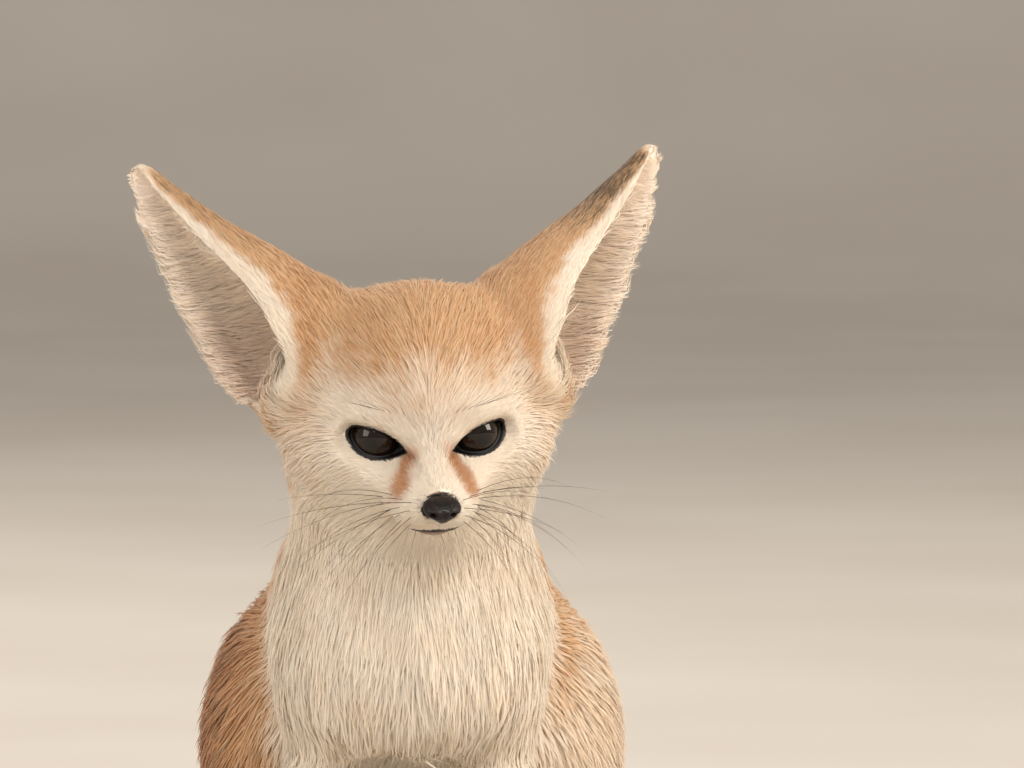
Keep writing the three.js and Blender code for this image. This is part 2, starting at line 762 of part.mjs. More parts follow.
const trunkNet = wrap(bodyField, [
  spaced(-94, 94, even(12.3)),
  spaced(-71, 190, even(12.3)),
  spaced(-15, 236, even(12.3)),
]);
const wholeTrunk = beyond(Manifold.union([solid(trunkNet), ...chestLocks()]), FLOOR, 1);
const headCutterOutside = (grow) =>
  solid(geometryOf(cutter({ ...HEAD_CUTTER, grow })).applyMatrix4(headFrame));

const neckFlesh = beyond(wholeTrunk, NECK_CUT, 1).subtract(headCutterOutside(GAP));

let torsoFlesh = beyond(wholeTrunk, NECK_CUT, -1);
torsoFlesh = torsoFlesh.trimByPlane([0, -1, 0], -TAIL_ROOT_Y);
for (const side of both) {
  torsoFlesh = torsoFlesh
    .subtract(sideCutter(side, GAP))
    .subtract(zone(FORE_ZONE, side, GAP))
    .subtract(zone(HIND_ZONE, side, GAP));
}

// A net over part of the body, finer than the trunk's, standing on the floor.
function legNet(side, low, high, cells) {
  const xs = side > 0 ? [low[0], high[0]] : [-high[0], -low[0]];
  const [cellX, cellY, cellZ] = cells;
  const net = wrap(bodyField, [
    spaced(xs[0], xs[1], cellX),
    spaced(low[1], high[1], cellY),
    spaced(low[2], high[2], cellZ),
  ]);
  return beyond(solid(net), FLOOR, 1);
}

const level = (z) => ({ normal: Z, through: V(0, 0, z) });

function foreleg(side) {
  const net = legNet(side, [2, -66, -9], [68, 40, 84], Array(3).fill(even(6.8)));
  return beyond(net.intersect(zone(FORE_ZONE, side, 0)), level(WRIST_CUT), 1);
}

function forepaw(side) {
  const cells = [even(4.3), (y) => (y < -44 ? 4 : 7), even(4.8)];
  const net = legNet(side, [8.8, -66, -8], [46, 6, 36], cells);
  return beyond(net.intersect(zone(FORE_ZONE, side, 0)), level(WRIST_CUT), -1);
}

function thigh(side) {
  const net = legNet(side, [12, -10, -14], [96, 146, 132], Array(3).fill(even(10)));
  return net
    .intersect(sideCutter(side, 0))
    .subtract(zone(HIND_ZONE, side, GAP))
    .subtract(zone(FORE_ZONE, side, GAP));
}

function hindpaw(side) {
  const cells = [even(4.7), (y) => (y < 24 ? 4.2 : 13), even(5)];
  const net = legNet(side, [28, -14, -8], [80, 122, 32], cells);
  return net.intersect(zone(HIND_ZONE, side, 0));
}

// Claws: short curved spikes, set in the fur of the toes clear of the floor

const CLAW = { length: 9, thick: 2.1, height: 4.6 };
function claw(toe, grow) {
  const rings = [0, 0.55, 1].map((share, n) => {
    const drop = 2.6 * share * share;
    const centre = V(0, -CLAW.length * share, CLAW.height - drop);
    const radius = (CLAW.thick / 2) * [1, 0.78, 0.14][n] + grow;
    return ellipseRing(centre, X, Z, radius * 0.8, radius, 4);
  });
  const shape = loft(rings);
  shape.rotateZ(toe.turn);
  return solid(shape.translate(toe.x, toe.y, 0));
}

function toesOf({ ball, toeLength, toeWidth }, x) {
  return [-1.5, -0.5, 0.5, 1.5].map((place) => ({
    x: x + place * toeWidth * 1.28 + place * 0.35,
    y: ball - toeLength * (Math.abs(place) < 1 ? 1.12 : 0.9),
    turn: degToRad(place * 5),
  }));
}

// The tail: a brush laid on the floor in a gentle curve

const TAIL = {
  line: new THREE.CatmullRomCurve3([
    V(0, TAIL_ROOT_Y + GAP, 24),
    V(-3, 176, 21.5),
    V(-12, 206, 21.5),
    V(-28, 240, 22),
    V(-48, 274, 20),
    V(-68, 302, 15),
    V(-84, 322, 9),
  ]),
  radii: [22.6, 20.6, 22.5, 24, 23, 16, 2],
};

function tailRadius(share) {
  const place = clamp(share, 0, 1) * (TAIL.radii.length - 1);
  const n = Math.min(Math.floor(place), TAIL.radii.length - 2);
  return lerp(TAIL.radii[n], TAIL.radii[n + 1], smoothstep(place - n, 0, 1) * 0.4 + (place - n) * 0.6);
}

// Across and upright directions of the tail at a share of its length.
function tailFrame(share) {
  const ahead = TAIL.line.getTangentAt(share);
  const across = ahead.clone().cross(Z).normalize();
  return { at: TAIL.line.getPointAt(share), ahead, across, up: across.clone().cross(ahead) };
}

function tailLength(from, to, count) {
  const rings = Array.from({ length: count }, (_, n) => {
    const share = lerp(from, to, n / (count - 1));
    const { at, across, up } = tailFrame(share);
    const radius = tailRadius(share);
    return ellipseRing(at, across, up, radius, radius * 0.95, 11);
  });
  return solid(loft(rings));
}

function tailLocks(from, to, count, length) {
  return Array.from({ length: count }, (_, n) => {
    const share = lerp(from, to, (n + random() * 0.8) / count);
    const { at, ahead, across, up } = tailFrame(clamp(share, 0, 0.999));
    const turn = degToRad(n * 137.5);
    const out = up
      .clone()
      .multiplyScalar(Math.sin(turn))
      .addScaledVector(across, Math.cos(turn));
    if (out.z < -0.45) out.z = -out.z;
    const root = at.clone().addScaledVector(out, tailRadius(share) * 0.93);
    return lock({
      root,
      out,
      along: ahead,
      length: between(0.85, 1.1) * length,
      width: between(15, 19),
      thick: 4.6,
      lift: between(0.06, 0.14),
      bend: between(-0.15, 0.15),
      sink: 3,
    });
  });
}

const TAIL_CUTS = [0.36, 0.7];
const tailCut = (share) => {
  const { at, ahead } = tailFrame(share);
  return { normal: ahead, through: at };
};
const wholeTail = Manifold.union([tailLength(0, 1, 12), ...tailLocks(0.13, 0.97, 28, 38)]);
let tail = beyond(wholeTail, FLOOR, 1);
tail = beyond(tail, { normal: Y, through: V(0, TAIL_ROOT_Y + GAP / 2, 0) }, 1);

// Materials
const coat = (colour, roughness = 0.9) =>
  new THREE.MeshStandardMaterial({ color: colour, roughness, metalness: 0 });
const sand = coat(0xd6a674);
const cream = coat(0xeeddc4);
const rust = coat(0xbf8a5a);
const black = coat(0x1b1614, 0.35);
const eyeBrown = coat(0x2a1710, 0.08);
const horn = coat(0x4a3c30, 0.5);

const fox = new THREE.Group();
const head = new THREE.Group();
head.applyMatrix4(headFrame);
fox.add(head);

function addNode(group, name, shape, material) {
  const mesh = new THREE.Mesh(geometryOf(largest(shape)), material);
  mesh.name = name;
  group.add(mesh);
  return mesh;
}

addNode(head, "head", headFlesh, sand);
addNode(head, "nose", noseFlesh, black);
addNode(fox, "neck", neckFlesh, cream);
addNode(fox, "torso_front", beyond(torsoFlesh, WAIST_CUT, -1), sand);
addNode(fox, "torso_rear", beyond(torsoFlesh, WAIST_CUT, 1), sand);
for (const [name, side] of Object.entries(SIDES)) {
  addNode(head, `eye_${name}`, eyeBall(side), eyeBrown);
  addNode(head, `ear_${name}`, earShape(side), sand);
  addNode(fox, `foreleg_${name}`, foreleg(side), cream);
  addNode(fox, `thigh_${name}`, thigh(side), sand);
  for (const [kind, paws, form, x] of [
    ["forepaw", forepaw, FOREPAW, side * FOREPAW_X],
    ["hindpaw", hindpaw, HINDPAW, side * HINDPAW_X],
  ]) {
    const toes = toesOf(form, x);
    const pockets = toes.map((toe) => claw(toe, GAP));
    addNode(fox, `${kind}_${name}`, paws(side).subtract(Manifold.union(pockets)), cream);
    toes.forEach((toe, n) => addNode(fox, `${kind}_${name}_claw_${n + 1}`, claw(toe, 0), horn));
  }
}
addNode(fox, "tail_base", beyond(tail, tailCut(TAIL_CUTS[0]), -1), rust);
addNode(fox, "tail_middle", beyond(beyond(tail, tailCut(TAIL_CUTS[0]), 1), tailCut(TAIL_CUTS[1]), -1), rust);
addNode(fox, "tail_tip", beyond(tail, tailCut(TAIL_CUTS[1]), 1), black);

// The part's frame: the middle of the underside of the box round the whole animal.
fox.updateMatrixWorld(true);
const bounds = new THREE.Box3().setFromObject(fox, true);
const middle = bounds.getCenter(V(0, 0, 0));
fox.position.set(-middle.x, -middle.y, -bounds.min.z);

export default fox;
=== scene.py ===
# A fennec fox at life size, sitting low with its head turned a little to its left: a still model as
# a museum shows. A hide is drawn over the form, eyes, lids, nose and claws are set in it, and the
# coat is laid over it in tufts. The fox faces -Y and its left side is +X. Places in the scene are in
# metres, and sizes of the fox in millimetres, which MM makes metres.
import json
import math

import bpy
import numpy as np
from mathutils import Matrix, Vector
from mathutils.bvhtree import BVHTree
from mathutils.kdtree import KDTree

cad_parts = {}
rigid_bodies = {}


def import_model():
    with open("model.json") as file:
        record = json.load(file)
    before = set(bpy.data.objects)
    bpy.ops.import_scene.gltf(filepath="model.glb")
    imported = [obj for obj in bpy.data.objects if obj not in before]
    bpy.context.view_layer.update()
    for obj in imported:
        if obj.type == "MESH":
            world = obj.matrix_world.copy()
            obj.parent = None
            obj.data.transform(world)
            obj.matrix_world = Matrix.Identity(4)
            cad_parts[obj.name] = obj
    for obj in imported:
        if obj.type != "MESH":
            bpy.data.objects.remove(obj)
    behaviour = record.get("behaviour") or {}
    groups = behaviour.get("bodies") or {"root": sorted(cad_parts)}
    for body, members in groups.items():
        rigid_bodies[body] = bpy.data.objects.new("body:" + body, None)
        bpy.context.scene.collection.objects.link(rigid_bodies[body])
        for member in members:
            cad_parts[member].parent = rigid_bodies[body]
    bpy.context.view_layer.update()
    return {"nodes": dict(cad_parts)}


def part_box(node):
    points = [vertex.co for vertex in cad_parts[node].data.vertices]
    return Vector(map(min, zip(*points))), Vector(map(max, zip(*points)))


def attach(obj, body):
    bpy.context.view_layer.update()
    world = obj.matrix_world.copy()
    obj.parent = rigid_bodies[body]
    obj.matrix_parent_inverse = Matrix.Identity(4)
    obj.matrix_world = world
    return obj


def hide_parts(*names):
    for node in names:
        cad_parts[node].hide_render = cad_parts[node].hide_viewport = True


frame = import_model()

# The hide
# One tanned skin drawn over the whole form, from the ear tips to the tail, with no seam. It lies
# inside the outline of the solids by the depth of the coat that grows from it. It runs on behind
# the eyeballs and the nose pad, which are set in front of it.
MM = 0.001
SIDES = {"left": 1, "right": -1}
PAIRED = ("ear", "foreleg", "forepaw", "thigh", "hindpaw")
FLESH = ["head", "neck", "torso_front", "torso_rear", "tail_base", "tail_middle", "tail_tip"]
FLESH += [f"{part}_{side}" for part in PAIRED for side in SIDES]
FILLED = ["eye_left", "eye_right", "nose"]
HIDE_GRAIN = 1.35 * MM
SEAM_CLOSING = 0.35 * MM
SAME_PLACE = 0.001 * MM

HEAD_PITCH, HEAD_ROLL, HEAD_TURN = (math.radians(angle) for angle in (19, -2, 8))
eye_centre = {side: sum(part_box(f"eye_{side}"), Vector()) / 2 for side in SIDES}
head_at = (eye_centre["left"] + eye_centre["right"]) / 2
upright_axes = Matrix.Rotation(HEAD_TURN, 3, "Z") @ Matrix.Rotation(HEAD_ROLL, 3, "Y")
head_axes = np.array(upright_axes @ Matrix.Rotation(HEAD_PITCH, 3, "X"))
ear_axes = np.array(upright_axes)


def in_head(points):
    """Places in the head's own frame, in millimetres from the point between the eyeballs."""
    return (np.asarray(points) - np.array(head_at)) @ head_axes / MM


def from_head(places):
    """Places of the head's own frame, in millimetres, as points of the scene."""
    return np.asarray(places) @ head_axes.T * MM + np.array(head_at)


def ramp(value, low, high):
    """0 at low, 1 at high and smooth between; low may be the larger."""
    share = np.clip((value - low) / (high - low), 0, 1)
    return share * share * (3 - 2 * share)


def unit(vectors):
    """Vectors of length 1, along the last axis."""
    return vectors / np.maximum(np.linalg.norm(vectors, axis=-1, keepdims=True), 1e-12)


def vertices_of(mesh):
    """The places of a mesh's vertices as rows."""
    flat = np.empty(len(mesh.vertices) * 3, np.float32)
    mesh.vertices.foreach_get("co", flat)
    return flat.reshape(-1, 3).astype(float)


def set_vertices(mesh, places):
    """Moves a mesh's vertices to the places given as rows."""
    mesh.vertices.foreach_set("co", places.astype(np.float32).ravel())
    mesh.update()


def faces_of(mesh, corners):
    """The corners of a mesh's faces as rows; every face has the same number of corners."""
    flat = np.empty(len(mesh.loops), np.int32)
    mesh.loops.foreach_get("vertex_index", flat)
    return flat.reshape(-1, corners)


def add_object(name, data):
    """Puts a new object in the scene, with its mesh, lamp or lens."""
    made = bpy.data.objects.new(name, data)
    bpy.context.scene.collection.objects.link(made)
    return made


def select_only(piece):
    """Makes one object the only one that operators act on."""
    bpy.ops.object.select_all(action="DESELECT")
    piece.select_set(True)
    bpy.context.view_layer.objects.active = piece


def apply_modifier(piece, kind, **settings):
    """Adds a modifier to a piece and applies it."""
    select_only(piece)
    bpy.ops.object.modifier_add(type=kind)
    modifier = piece.modifiers[-1]
    for key, value in settings.items():
        setattr(modifier, key, value)
    bpy.ops.object.modifier_apply(modifier=modifier.name)


def edit_whole(piece, operator, **settings):
    """Runs one operator of edit mode on the whole mesh of a piece."""
    select_only(piece)
    bpy.ops.object.mode_set(mode="EDIT")
    bpy.ops.mesh.select_all(action="SELECT")
    operator(**settings)
    bpy.ops.object.mode_set(mode="OBJECT")


def join(pieces, whole):
    """Joins pieces into one of them."""
    select_only(whole)
    for piece in pieces:
        piece.select_set(True)
    if len(pieces) > 1:
        bpy.ops.object.join()
    return whole


def copy_of_nodes(name, nodes):
    """One object joined from copies of solids' meshes, with the corners of their faces merged."""
    copies = [add_object(name, frame["nodes"][node].data.copy()) for node in nodes]
    piece = join(copies, copies[-1])
    piece.name = name
    piece.data.materials.clear()
    edit_whole(piece, bpy.ops.mesh.remove_doubles, threshold=SAME_PLACE)
    return piece


def ring_mesh(name, rings, closed_round=True, capped=False):
    """A mesh stretched over rings of points, each ring with as many points as the next."""
    count = len(rings[0])
    faces = []
    for ring in range(len(rings) - 1):
        for n in range(count if closed_round else count - 1):
            after = (n + 1) % count
            start = ring * count
            faces.append((start + n, start + after, start + count + after, start + count + n))
    if capped:
        last = count * (len(rings) - 1)
        faces += [tuple(range(count))[::-1], tuple(range(last, last + count))]
    mesh = bpy.data.meshes.new(name)
    mesh.from_pydata(np.concatenate(rings).tolist(), [], faces)
    mesh.polygons.foreach_set("use_smooth", np.ones(len(mesh.polygons), bool))
    return add_object(name, mesh)


def face_outward(piece):
    """Turns a piece's faces to look out."""
    edit_whole(piece, bpy.ops.mesh.normals_make_consistent, inside=False)


# Each ear is a horn of skin with rolled rims, slit open along the side that faces ahead and out.
# Its measures are in millimetres and degrees, at stations below its tip.
EAR_TIP = np.array([93, 52, 94.5])
EAR_LEAN = unit(np.array([0.565, 0.3, 0.826]))
EAR_ACROSS = unit(np.array([0.826, 0, -0.565]))
EAR_AHEAD = unit(np.cross(EAR_ACROSS, EAR_LEAN))
EAR_FACING = 58
EAR_BELOW_TIP = [0, 5.1, 15.3, 27.5, 39.8, 52, 65.3, 79.6, 93.8, 106]
EAR_RADIUS = [3.6, 5.8, 8.6, 11.8, 15.6, 19.8, 23.6, 26, 24.5, 20]
EAR_SHIFT = [0, 0.4, 0.8, 0.6, 0, -1.2, -2.8, -4, -4, -3]
EAR_OPEN = [45, 54, 58, 60, 60, 60, 58, 52, 38, 26]
EAR_FLAT = 0.92
EAR_WALL = 2.6
EAR_ROUNDING = 3.5
EAR_STATIONS = np.concatenate([np.linspace(104, 4, 51), [2.2, 1.0, 0.4]])
EAR_TURNS = 30
RIM_TURNS = [math.radians(angle) for angle in (45, 90, 135)]
ROOT_FLOOR = ((107, 1), (102, 0.98), (98, 0.93), (94.5, 0.83), (91.5, 0.65), (89.5, 0.42), (88.5, 0.15))


def ear_value(table, below):
    """One of the ear's measures at distances below its tip, rounded between the stations."""
    steps = (-EAR_ROUNDING, 0, EAR_ROUNDING)
    return sum(np.interp(below + step, EAR_BELOW_TIP, table) for step in steps) / len(steps)


def in_ear(points, side):
    """Distance below the ear's tip, turn in degrees from the middle of its opening (growing from
    the inner edge to the outer), and share of the ear's radius."""
    place = (np.asarray(points) - np.array(head_at)) @ ear_axes / MM
    place = place * np.array([SIDES[side], 1, 1])
    below = (EAR_TIP - place) @ EAR_LEAN
    off = place - EAR_TIP + below[:, None] * EAR_LEAN
    across = off @ EAR_ACROSS - np.interp(below, EAR_BELOW_TIP, EAR_SHIFT)
    ahead = off @ EAR_AHEAD / EAR_FLAT
    turn = (np.degrees(np.arctan2(across, ahead)) - EAR_FACING + 180) % 360 - 180
    return below, turn, np.hypot(across, ahead) / np.interp(below, EAR_BELOW_TIP, EAR_RADIUS)


def ear_ring(side, below, turns, reach):
    """Points round an ear's middle line, at turns in degrees and reaches in millimetres."""
    turn = np.radians(turns + EAR_FACING)
    across = ear_value(EAR_SHIFT, below) + np.sin(turn) * reach
    ahead = np.cos(turn) * reach * EAR_FLAT
    place = EAR_TIP - below * EAR_LEAN + np.outer(across, EAR_ACROSS) + np.outer(ahead, EAR_AHEAD)
    return (place * np.array([SIDES[side], 1, 1])) @ ear_axes.T * MM + np.array(head_at)


def ear_shell(side):
    """One ear's skin in rings from its foot to its tip: out, round one rim, back and round the other."""
    rings = []
    for below in EAR_STATIONS:
        radius = ear_value(EAR_RADIUS, below) * min(1, 0.25 + below / 4)
        half_wall = 0.5 * min(EAR_WALL, radius * 0.9)
        first = ear_value(EAR_OPEN, below) + math.degrees((half_wall + 0.5) / radius)
        turns = np.linspace(first, 360 - first, EAR_TURNS)
        middle = radius - half_wall
        past = [math.degrees(half_wall * math.sin(angle) / radius) for angle in RIM_TURNS]
        over = [half_wall * math.cos(angle) for angle in RIM_TURNS]
        loop = [(turn, radius) for turn in turns]
        loop += [(turns[-1] + turn, middle + rise) for turn, rise in zip(past, over)]
        loop += [(turn, radius - 2 * half_wall) for turn in turns[::-1]]
        loop += [(turns[0] - turn, middle - rise) for turn, rise in zip(past, over)]
        rings.append(ear_ring(side, below, *np.array(loop).T))
    return ring_mesh("ear_skin", rings, capped=True)


def ear_root(side):
    """The floor of an ear's horn, and the notch beside the face that its foot leaves."""
    turns = np.linspace(-180, 180, 40, endpoint=False)
    notch = np.exp(-(((turns + 75) / 38) ** 2))
    rings = []
    for below, swell in ROOT_FLOOR:
        reach = (ear_value(EAR_RADIUS, below) - 0.8 + 2.6 * notch) * swell
        rings.append(ear_ring(side, below, turns, reach))
    return ring_mesh("ear_root", rings, capped=True)


# The tail is a plain brush that lies on the floor. Each station has its place and its radius.
TAIL_STATIONS = np.array([
    (7, 20, 24.5, 23),
    (7, 29, 24, 22.6),
    (4, 51, 21.5, 20.6),
    (-5, 81, 21.5, 22.5),
    (-21, 115, 22, 24),
    (-41, 149, 20, 23),
    (-61, 177, 15, 16),
    (-70, 188, 12, 9),
])
TAIL_LINE, TAIL_RADIUS = TAIL_STATIONS[:, :3], TAIL_STATIONS[:, 3]
TAIL_ROUNDING = 9
TAIL_ABOVE_FLOOR = 0.4


def tail_shell():
    """The tail's skin in rings from its root to its end."""
    span = np.concatenate([[0], np.cumsum(np.linalg.norm(np.diff(TAIL_LINE, axis=0), axis=1))])
    rings = []
    turn = np.linspace(0, 2 * math.pi, 40, endpoint=False)
    for reach in np.linspace(0, span[-1], 48):
        near = reach + np.array([-TAIL_ROUNDING, 0, TAIL_ROUNDING])
        line = np.stack([np.interp(near, span, TAIL_LINE[:, n]) for n in range(3)], 1)
        at, way = line.mean(0), unit(line[2] - line[0])
        end = min(1, math.sqrt(max((span[-1] - reach) / 12, 0)) + 0.15)
        radius = np.interp(near, span, TAIL_RADIUS).mean() * end
        across = unit(np.cross(way, [0, 0, 1]))
        upright = np.cross(across, way)
        ring = at + radius * (np.outer(np.cos(turn), across) + 0.95 * np.outer(np.sin(turn), upright))
        ring[:, 2] = np.maximum(ring[:, 2], TAIL_ABOVE_FLOOR)
        rings.append(ring * MM)
    return ring_mesh("tail_skin", rings, capped=True)


WRAPPED = [node for node in FLESH if not node.startswith(("ear", "tail"))]
hide = copy_of_nodes("hide", WRAPPED + FILLED)
for shell in (*map(ear_shell, SIDES), *map(ear_root, SIDES), tail_shell()):
    face_outward(shell)
    join([hide, shell], hide)
apply_modifier(hide, "DISPLACE", strength=SEAM_CLOSING, mid_level=0)


def wrap_hide():
    """Draws one even net over the form, without scraps. Gives its vertices and faces, the ends of
    its edges, and how many edges meet at each vertex."""
    apply_modifier(hide, "REMESH", mode="VOXEL", voxel_size=HIDE_GRAIN)
    ear_tip = int(np.argmax(vertices_of(hide.data)[:, 2]))
    hide.data.vertices.foreach_set("select", np.arange(len(hide.data.vertices)) == ear_tip)
    for rest in (hide.data.edges, hide.data.polygons):
        rest.foreach_set("select", np.zeros(len(rest), bool))
    bpy.ops.object.mode_set(mode="EDIT")
    bpy.ops.mesh.select_mode(type="VERT")
    bpy.ops.mesh.select_linked()
    bpy.ops.mesh.select_all(action="INVERT")
    bpy.ops.mesh.delete(type="VERT")
    bpy.ops.object.mode_set(mode="OBJECT")
    edges = np.empty(len(hide.data.edges) * 2, np.int32)
    hide.data.edges.foreach_get("vertices", edges)
    meeting = np.bincount(edges, minlength=len(hide.data.vertices))[:, None]
    return vertices_of(hide.data), faces_of(hide.data, 4), edges.reshape(-1, 2).T, meeting


def eased(values, rounds, share=0.5):
    """Values at the hide's vertices, each drawn toward the mean of its neighbours' values."""
    values = values.copy()
    for _ in range(rounds):
        total = [
            np.bincount(edge_from, column[edge_to], len(form))
            + np.bincount(edge_to, column[edge_from], len(form))
            for column in values.T
        ]
        values += share * (np.array(total).T / edges_meeting - values)
    return values


def hide_normals():
    """The hide's outward directions at its vertices."""
    flat = np.empty(len(form) * 3, np.float32)
    hide.data.vertex_normals.foreach_get("vector", flat)
    return flat.reshape(-1, 3).astype(float)


PARTS = ["head", "neck", "torso", "tail", *PAIRED]
BORDER_ROUNDS = 20
solid_part, node_corners, node_faces = [], [], []
for node in FLESH + FILLED:
    mesh = frame["nodes"][node].data
    part = next((n for n, part in enumerate(PARTS) if node.startswith(part)), 0)
    solid_part += [part] * len(mesh.polygons)
    node_faces += (faces_of(mesh, 3) + len(node_corners)).tolist()
    node_corners += vertices_of(mesh).tolist()
nearest_solid = BVHTree.FromPolygons(node_corners, node_faces)


def name_parts():
    """Which part of the animal each vertex lies on, from the nearest solid, blended at borders."""
    belongs = np.zeros((len(form), len(PARTS)))
    for vertex, place in enumerate(form):
        belongs[vertex, solid_part[nearest_solid.find_nearest(place)[2]]] = 1
    return dict(zip(PARTS, eased(belongs, BORDER_ROUNDS).T))


# The solids' own locks are closed over by swelling the form and wrapping it again, and then
# smoothed away, since the hair takes their place. The face, ears and paws keep their form.
SWELLING = 4.0
SMOOTHING = {"head": 0.1, "ear": 0.1, "tail": 0.3, "forepaw": 0.08, "hindpaw": 0.12, "foreleg": 0.3}
SMOOTHING_ROUNDS = 80
EAR_FOOT = 99


def shaggy():
    """How far each vertex lies where the solids carry locks, from 0 to 1."""
    ruff = 0.6 * ramp(in_head(form)[:, 1], 22, 40) * on["head"]
    return np.clip(on["neck"] + on["torso"] + on["thigh"] + ruff, 0, 1)[:, None]


form, quads, (edge_from, edge_to), edges_meeting = wrap_hide()
on = name_parts()
set_vertices(hide.data, form + hide_normals() * shaggy() * SWELLING * MM)
form, quads, (edge_from, edge_to), edges_meeting = wrap_hide()
on = name_parts()
smoothing = sum(on[part] * SMOOTHING.get(part, 1) for part in PARTS)
smoothing += 0.7 * ramp(in_head(form)[:, 1], 18, 40) * on["head"]
for side, sign in SIDES.items():
    below, _, share = in_ear(form, side)
    foot = ramp(np.abs(below - EAR_FOOT), 17, 9) * ramp(share, 1.7, 1.25)
    foot *= in_head(form)[:, 0] * sign > 0
    smoothing += 0.45 * foot * (on["head"] + on["ear"])
form = eased(form, SMOOTHING_ROUNDS, 0.6 * np.clip(smoothing, 0, 1)[:, None])
set_vertices(hide.data, form)

# The almond of each eye in the eye's own directions, and its ball with the bulge of the cornea, in
# millimetres.
EYE_RADIUS = 9.4
EYE_OUTWARD = math.radians(20)
EYE_SLANT = math.radians(13)
EYE_UPWARD = 0.06
ALMOND = {"outer": 8.9, "inner": 11.4, "up": 4.8, "down": 4.9, "inner_drop": 0.2, "drawn_in": 0.42}
CORNEA, CORNEA_REACH, CORNEA_TOP = 0.9, 8.8, 2.4


def eye_directions(side):
    """The eye's directions in the head's frame: toward the outer corner, up, and ahead."""
    sign = SIDES[side]
    ahead = Vector((sign * math.sin(EYE_OUTWARD), -math.cos(EYE_OUTWARD), EYE_UPWARD)).normalized()
    level = Vector((sign * math.cos(EYE_OUTWARD), math.sin(EYE_OUTWARD), 0))
    slit = Matrix.Rotation(sign * EYE_SLANT, 3, ahead) @ level
    slit = (slit - ahead * slit.dot(ahead)).normalized()
    return np.array([slit, sign * ahead.cross(slit), ahead])


def in_eye(points, side):
    """Places in the eye's frame, in millimetres from its centre: along the slit, up and ahead."""
    centre = in_head(eye_centre[side])
    return (in_head(points) - centre) @ eye_directions(side).T


def eyeball_height(along, up):
    """How far ahead of its centre the front of an eyeball lies, with the bulge of its cornea."""
    reach = np.hypot(along, up)
    ball = np.sqrt(np.maximum(EYE_RADIUS**2 - reach**2, 0))
    return ball + CORNEA * ramp(reach, CORNEA_REACH, CORNEA_TOP)


def beside_almond(place):
    """How far a place of the eye's frame lies outside the almond of the lids, in millimetres."""
    along, up = place[..., 0], place[..., 1]
    inner = np.clip(-along / ALMOND["inner"], 0, 1.4)
    up = up + ALMOND["inner_drop"] * inner**2
    reach = np.where(along > 0, ALMOND["outer"], ALMOND["inner"])
    narrow = 1 - ALMOND["drawn_in"] * np.clip(inner, 0, 1) ** 3
    height = np.where(up > 0, ALMOND["up"], ALMOND["down"]) * narrow
    share = np.maximum(np.hypot(along / reach, up / height), 1e-3)
    return np.hypot(along, up) * (1 - 1 / share)


# How deep the hide lies under the outline of the coat, in millimetres.
COAT_DEPTH = {
    "head": 4.0,
    "neck": 5.2,
    "torso": 6.5,
    "tail": 4.5,
    "ear": 0.9,
    "foreleg": 2.2,
    "forepaw": 1.1,
    "thigh": 5.5,
    "hindpaw": 1.2,
}
BARE_DEPTH = {"muzzle": 0.9, "eyes": 0.5, "soles": 0.35}

# Where the form is thin, the hide goes no deeper than this share of it.
THIN_WALL_SHARE = 0.3
RAY_REACH = 60 * MM
RAY_START = 0.05 * MM
HIDE_ABOVE_FLOOR = 0.1 * MM

# The nose pad's middle and half size, the bed that it sits in, and how high the mouth runs at its
# front and at its corners.
NOSE_AT = np.array([0.9, -37, -13.2])
NOSE_SIZE = np.array([6.7, 5.4, 4.8])
NOSE_BED = np.array([6.7, 7, 4.9])
NOSE_BED_DEPTH = 4.0
MOUTH_FRONT, MOUTH_CORNER = -24.8, -21


def tree_of(points, faces):
    """A tree that finds the nearest place of a mesh, or where a line meets it."""
    return BVHTree.FromPolygons(points.tolist(), faces.tolist())


normals = hide_normals()
head_place = in_head(form)
from_nose = np.linalg.norm(head_place - NOSE_AT, axis=1)
eye_gaps = []
for side in SIDES:
    place = in_eye(form, side)
    eye_gaps.append(np.where(place[:, 2] > -2, np.abs(beside_almond(place)), 40))
eye_gap = np.min(eye_gaps, axis=0)
depth = sum(on[part] * COAT_DEPTH[part] for part in PARTS)
face = ramp(from_nose, 62, 24) * on["head"]
depth += face * (BARE_DEPTH["muzzle"] - depth)
depth += ramp(eye_gap, 14, 3) * on["head"] * (BARE_DEPTH["eyes"] - depth)
sole = ramp(form[:, 2] / MM, 3.5, 0.5) * ramp(-normals[:, 2], 0.5, 0.9)
depth += sole * (BARE_DEPTH["soles"] - depth)
depth += shaggy()[:, 0] * SWELLING
depth = eased(depth[:, None], 4)[:, 0]
outline = tree_of(form, quads)
thickness = np.full(len(form), RAY_REACH / MM)
for vertex, place in enumerate(form):
    inward = Vector(-normals[vertex])
    hit = outline.ray_cast(Vector(place) + inward * RAY_START, inward, RAY_REACH)
    if hit[0]:
        thickness[vertex] = hit[3] / MM
depth = np.minimum(depth, THIN_WALL_SHARE * eased(thickness[:, None], 3)[:, 0])
form = form - normals * (depth * MM)[:, None]
settle = 0.4 * np.clip(on["head"] + on["neck"] + on["torso"], 0, 1)[:, None]
form = eased(form, 4, settle)
form[:, 2] = np.maximum(form[:, 2], HIDE_ABOVE_FLOOR)

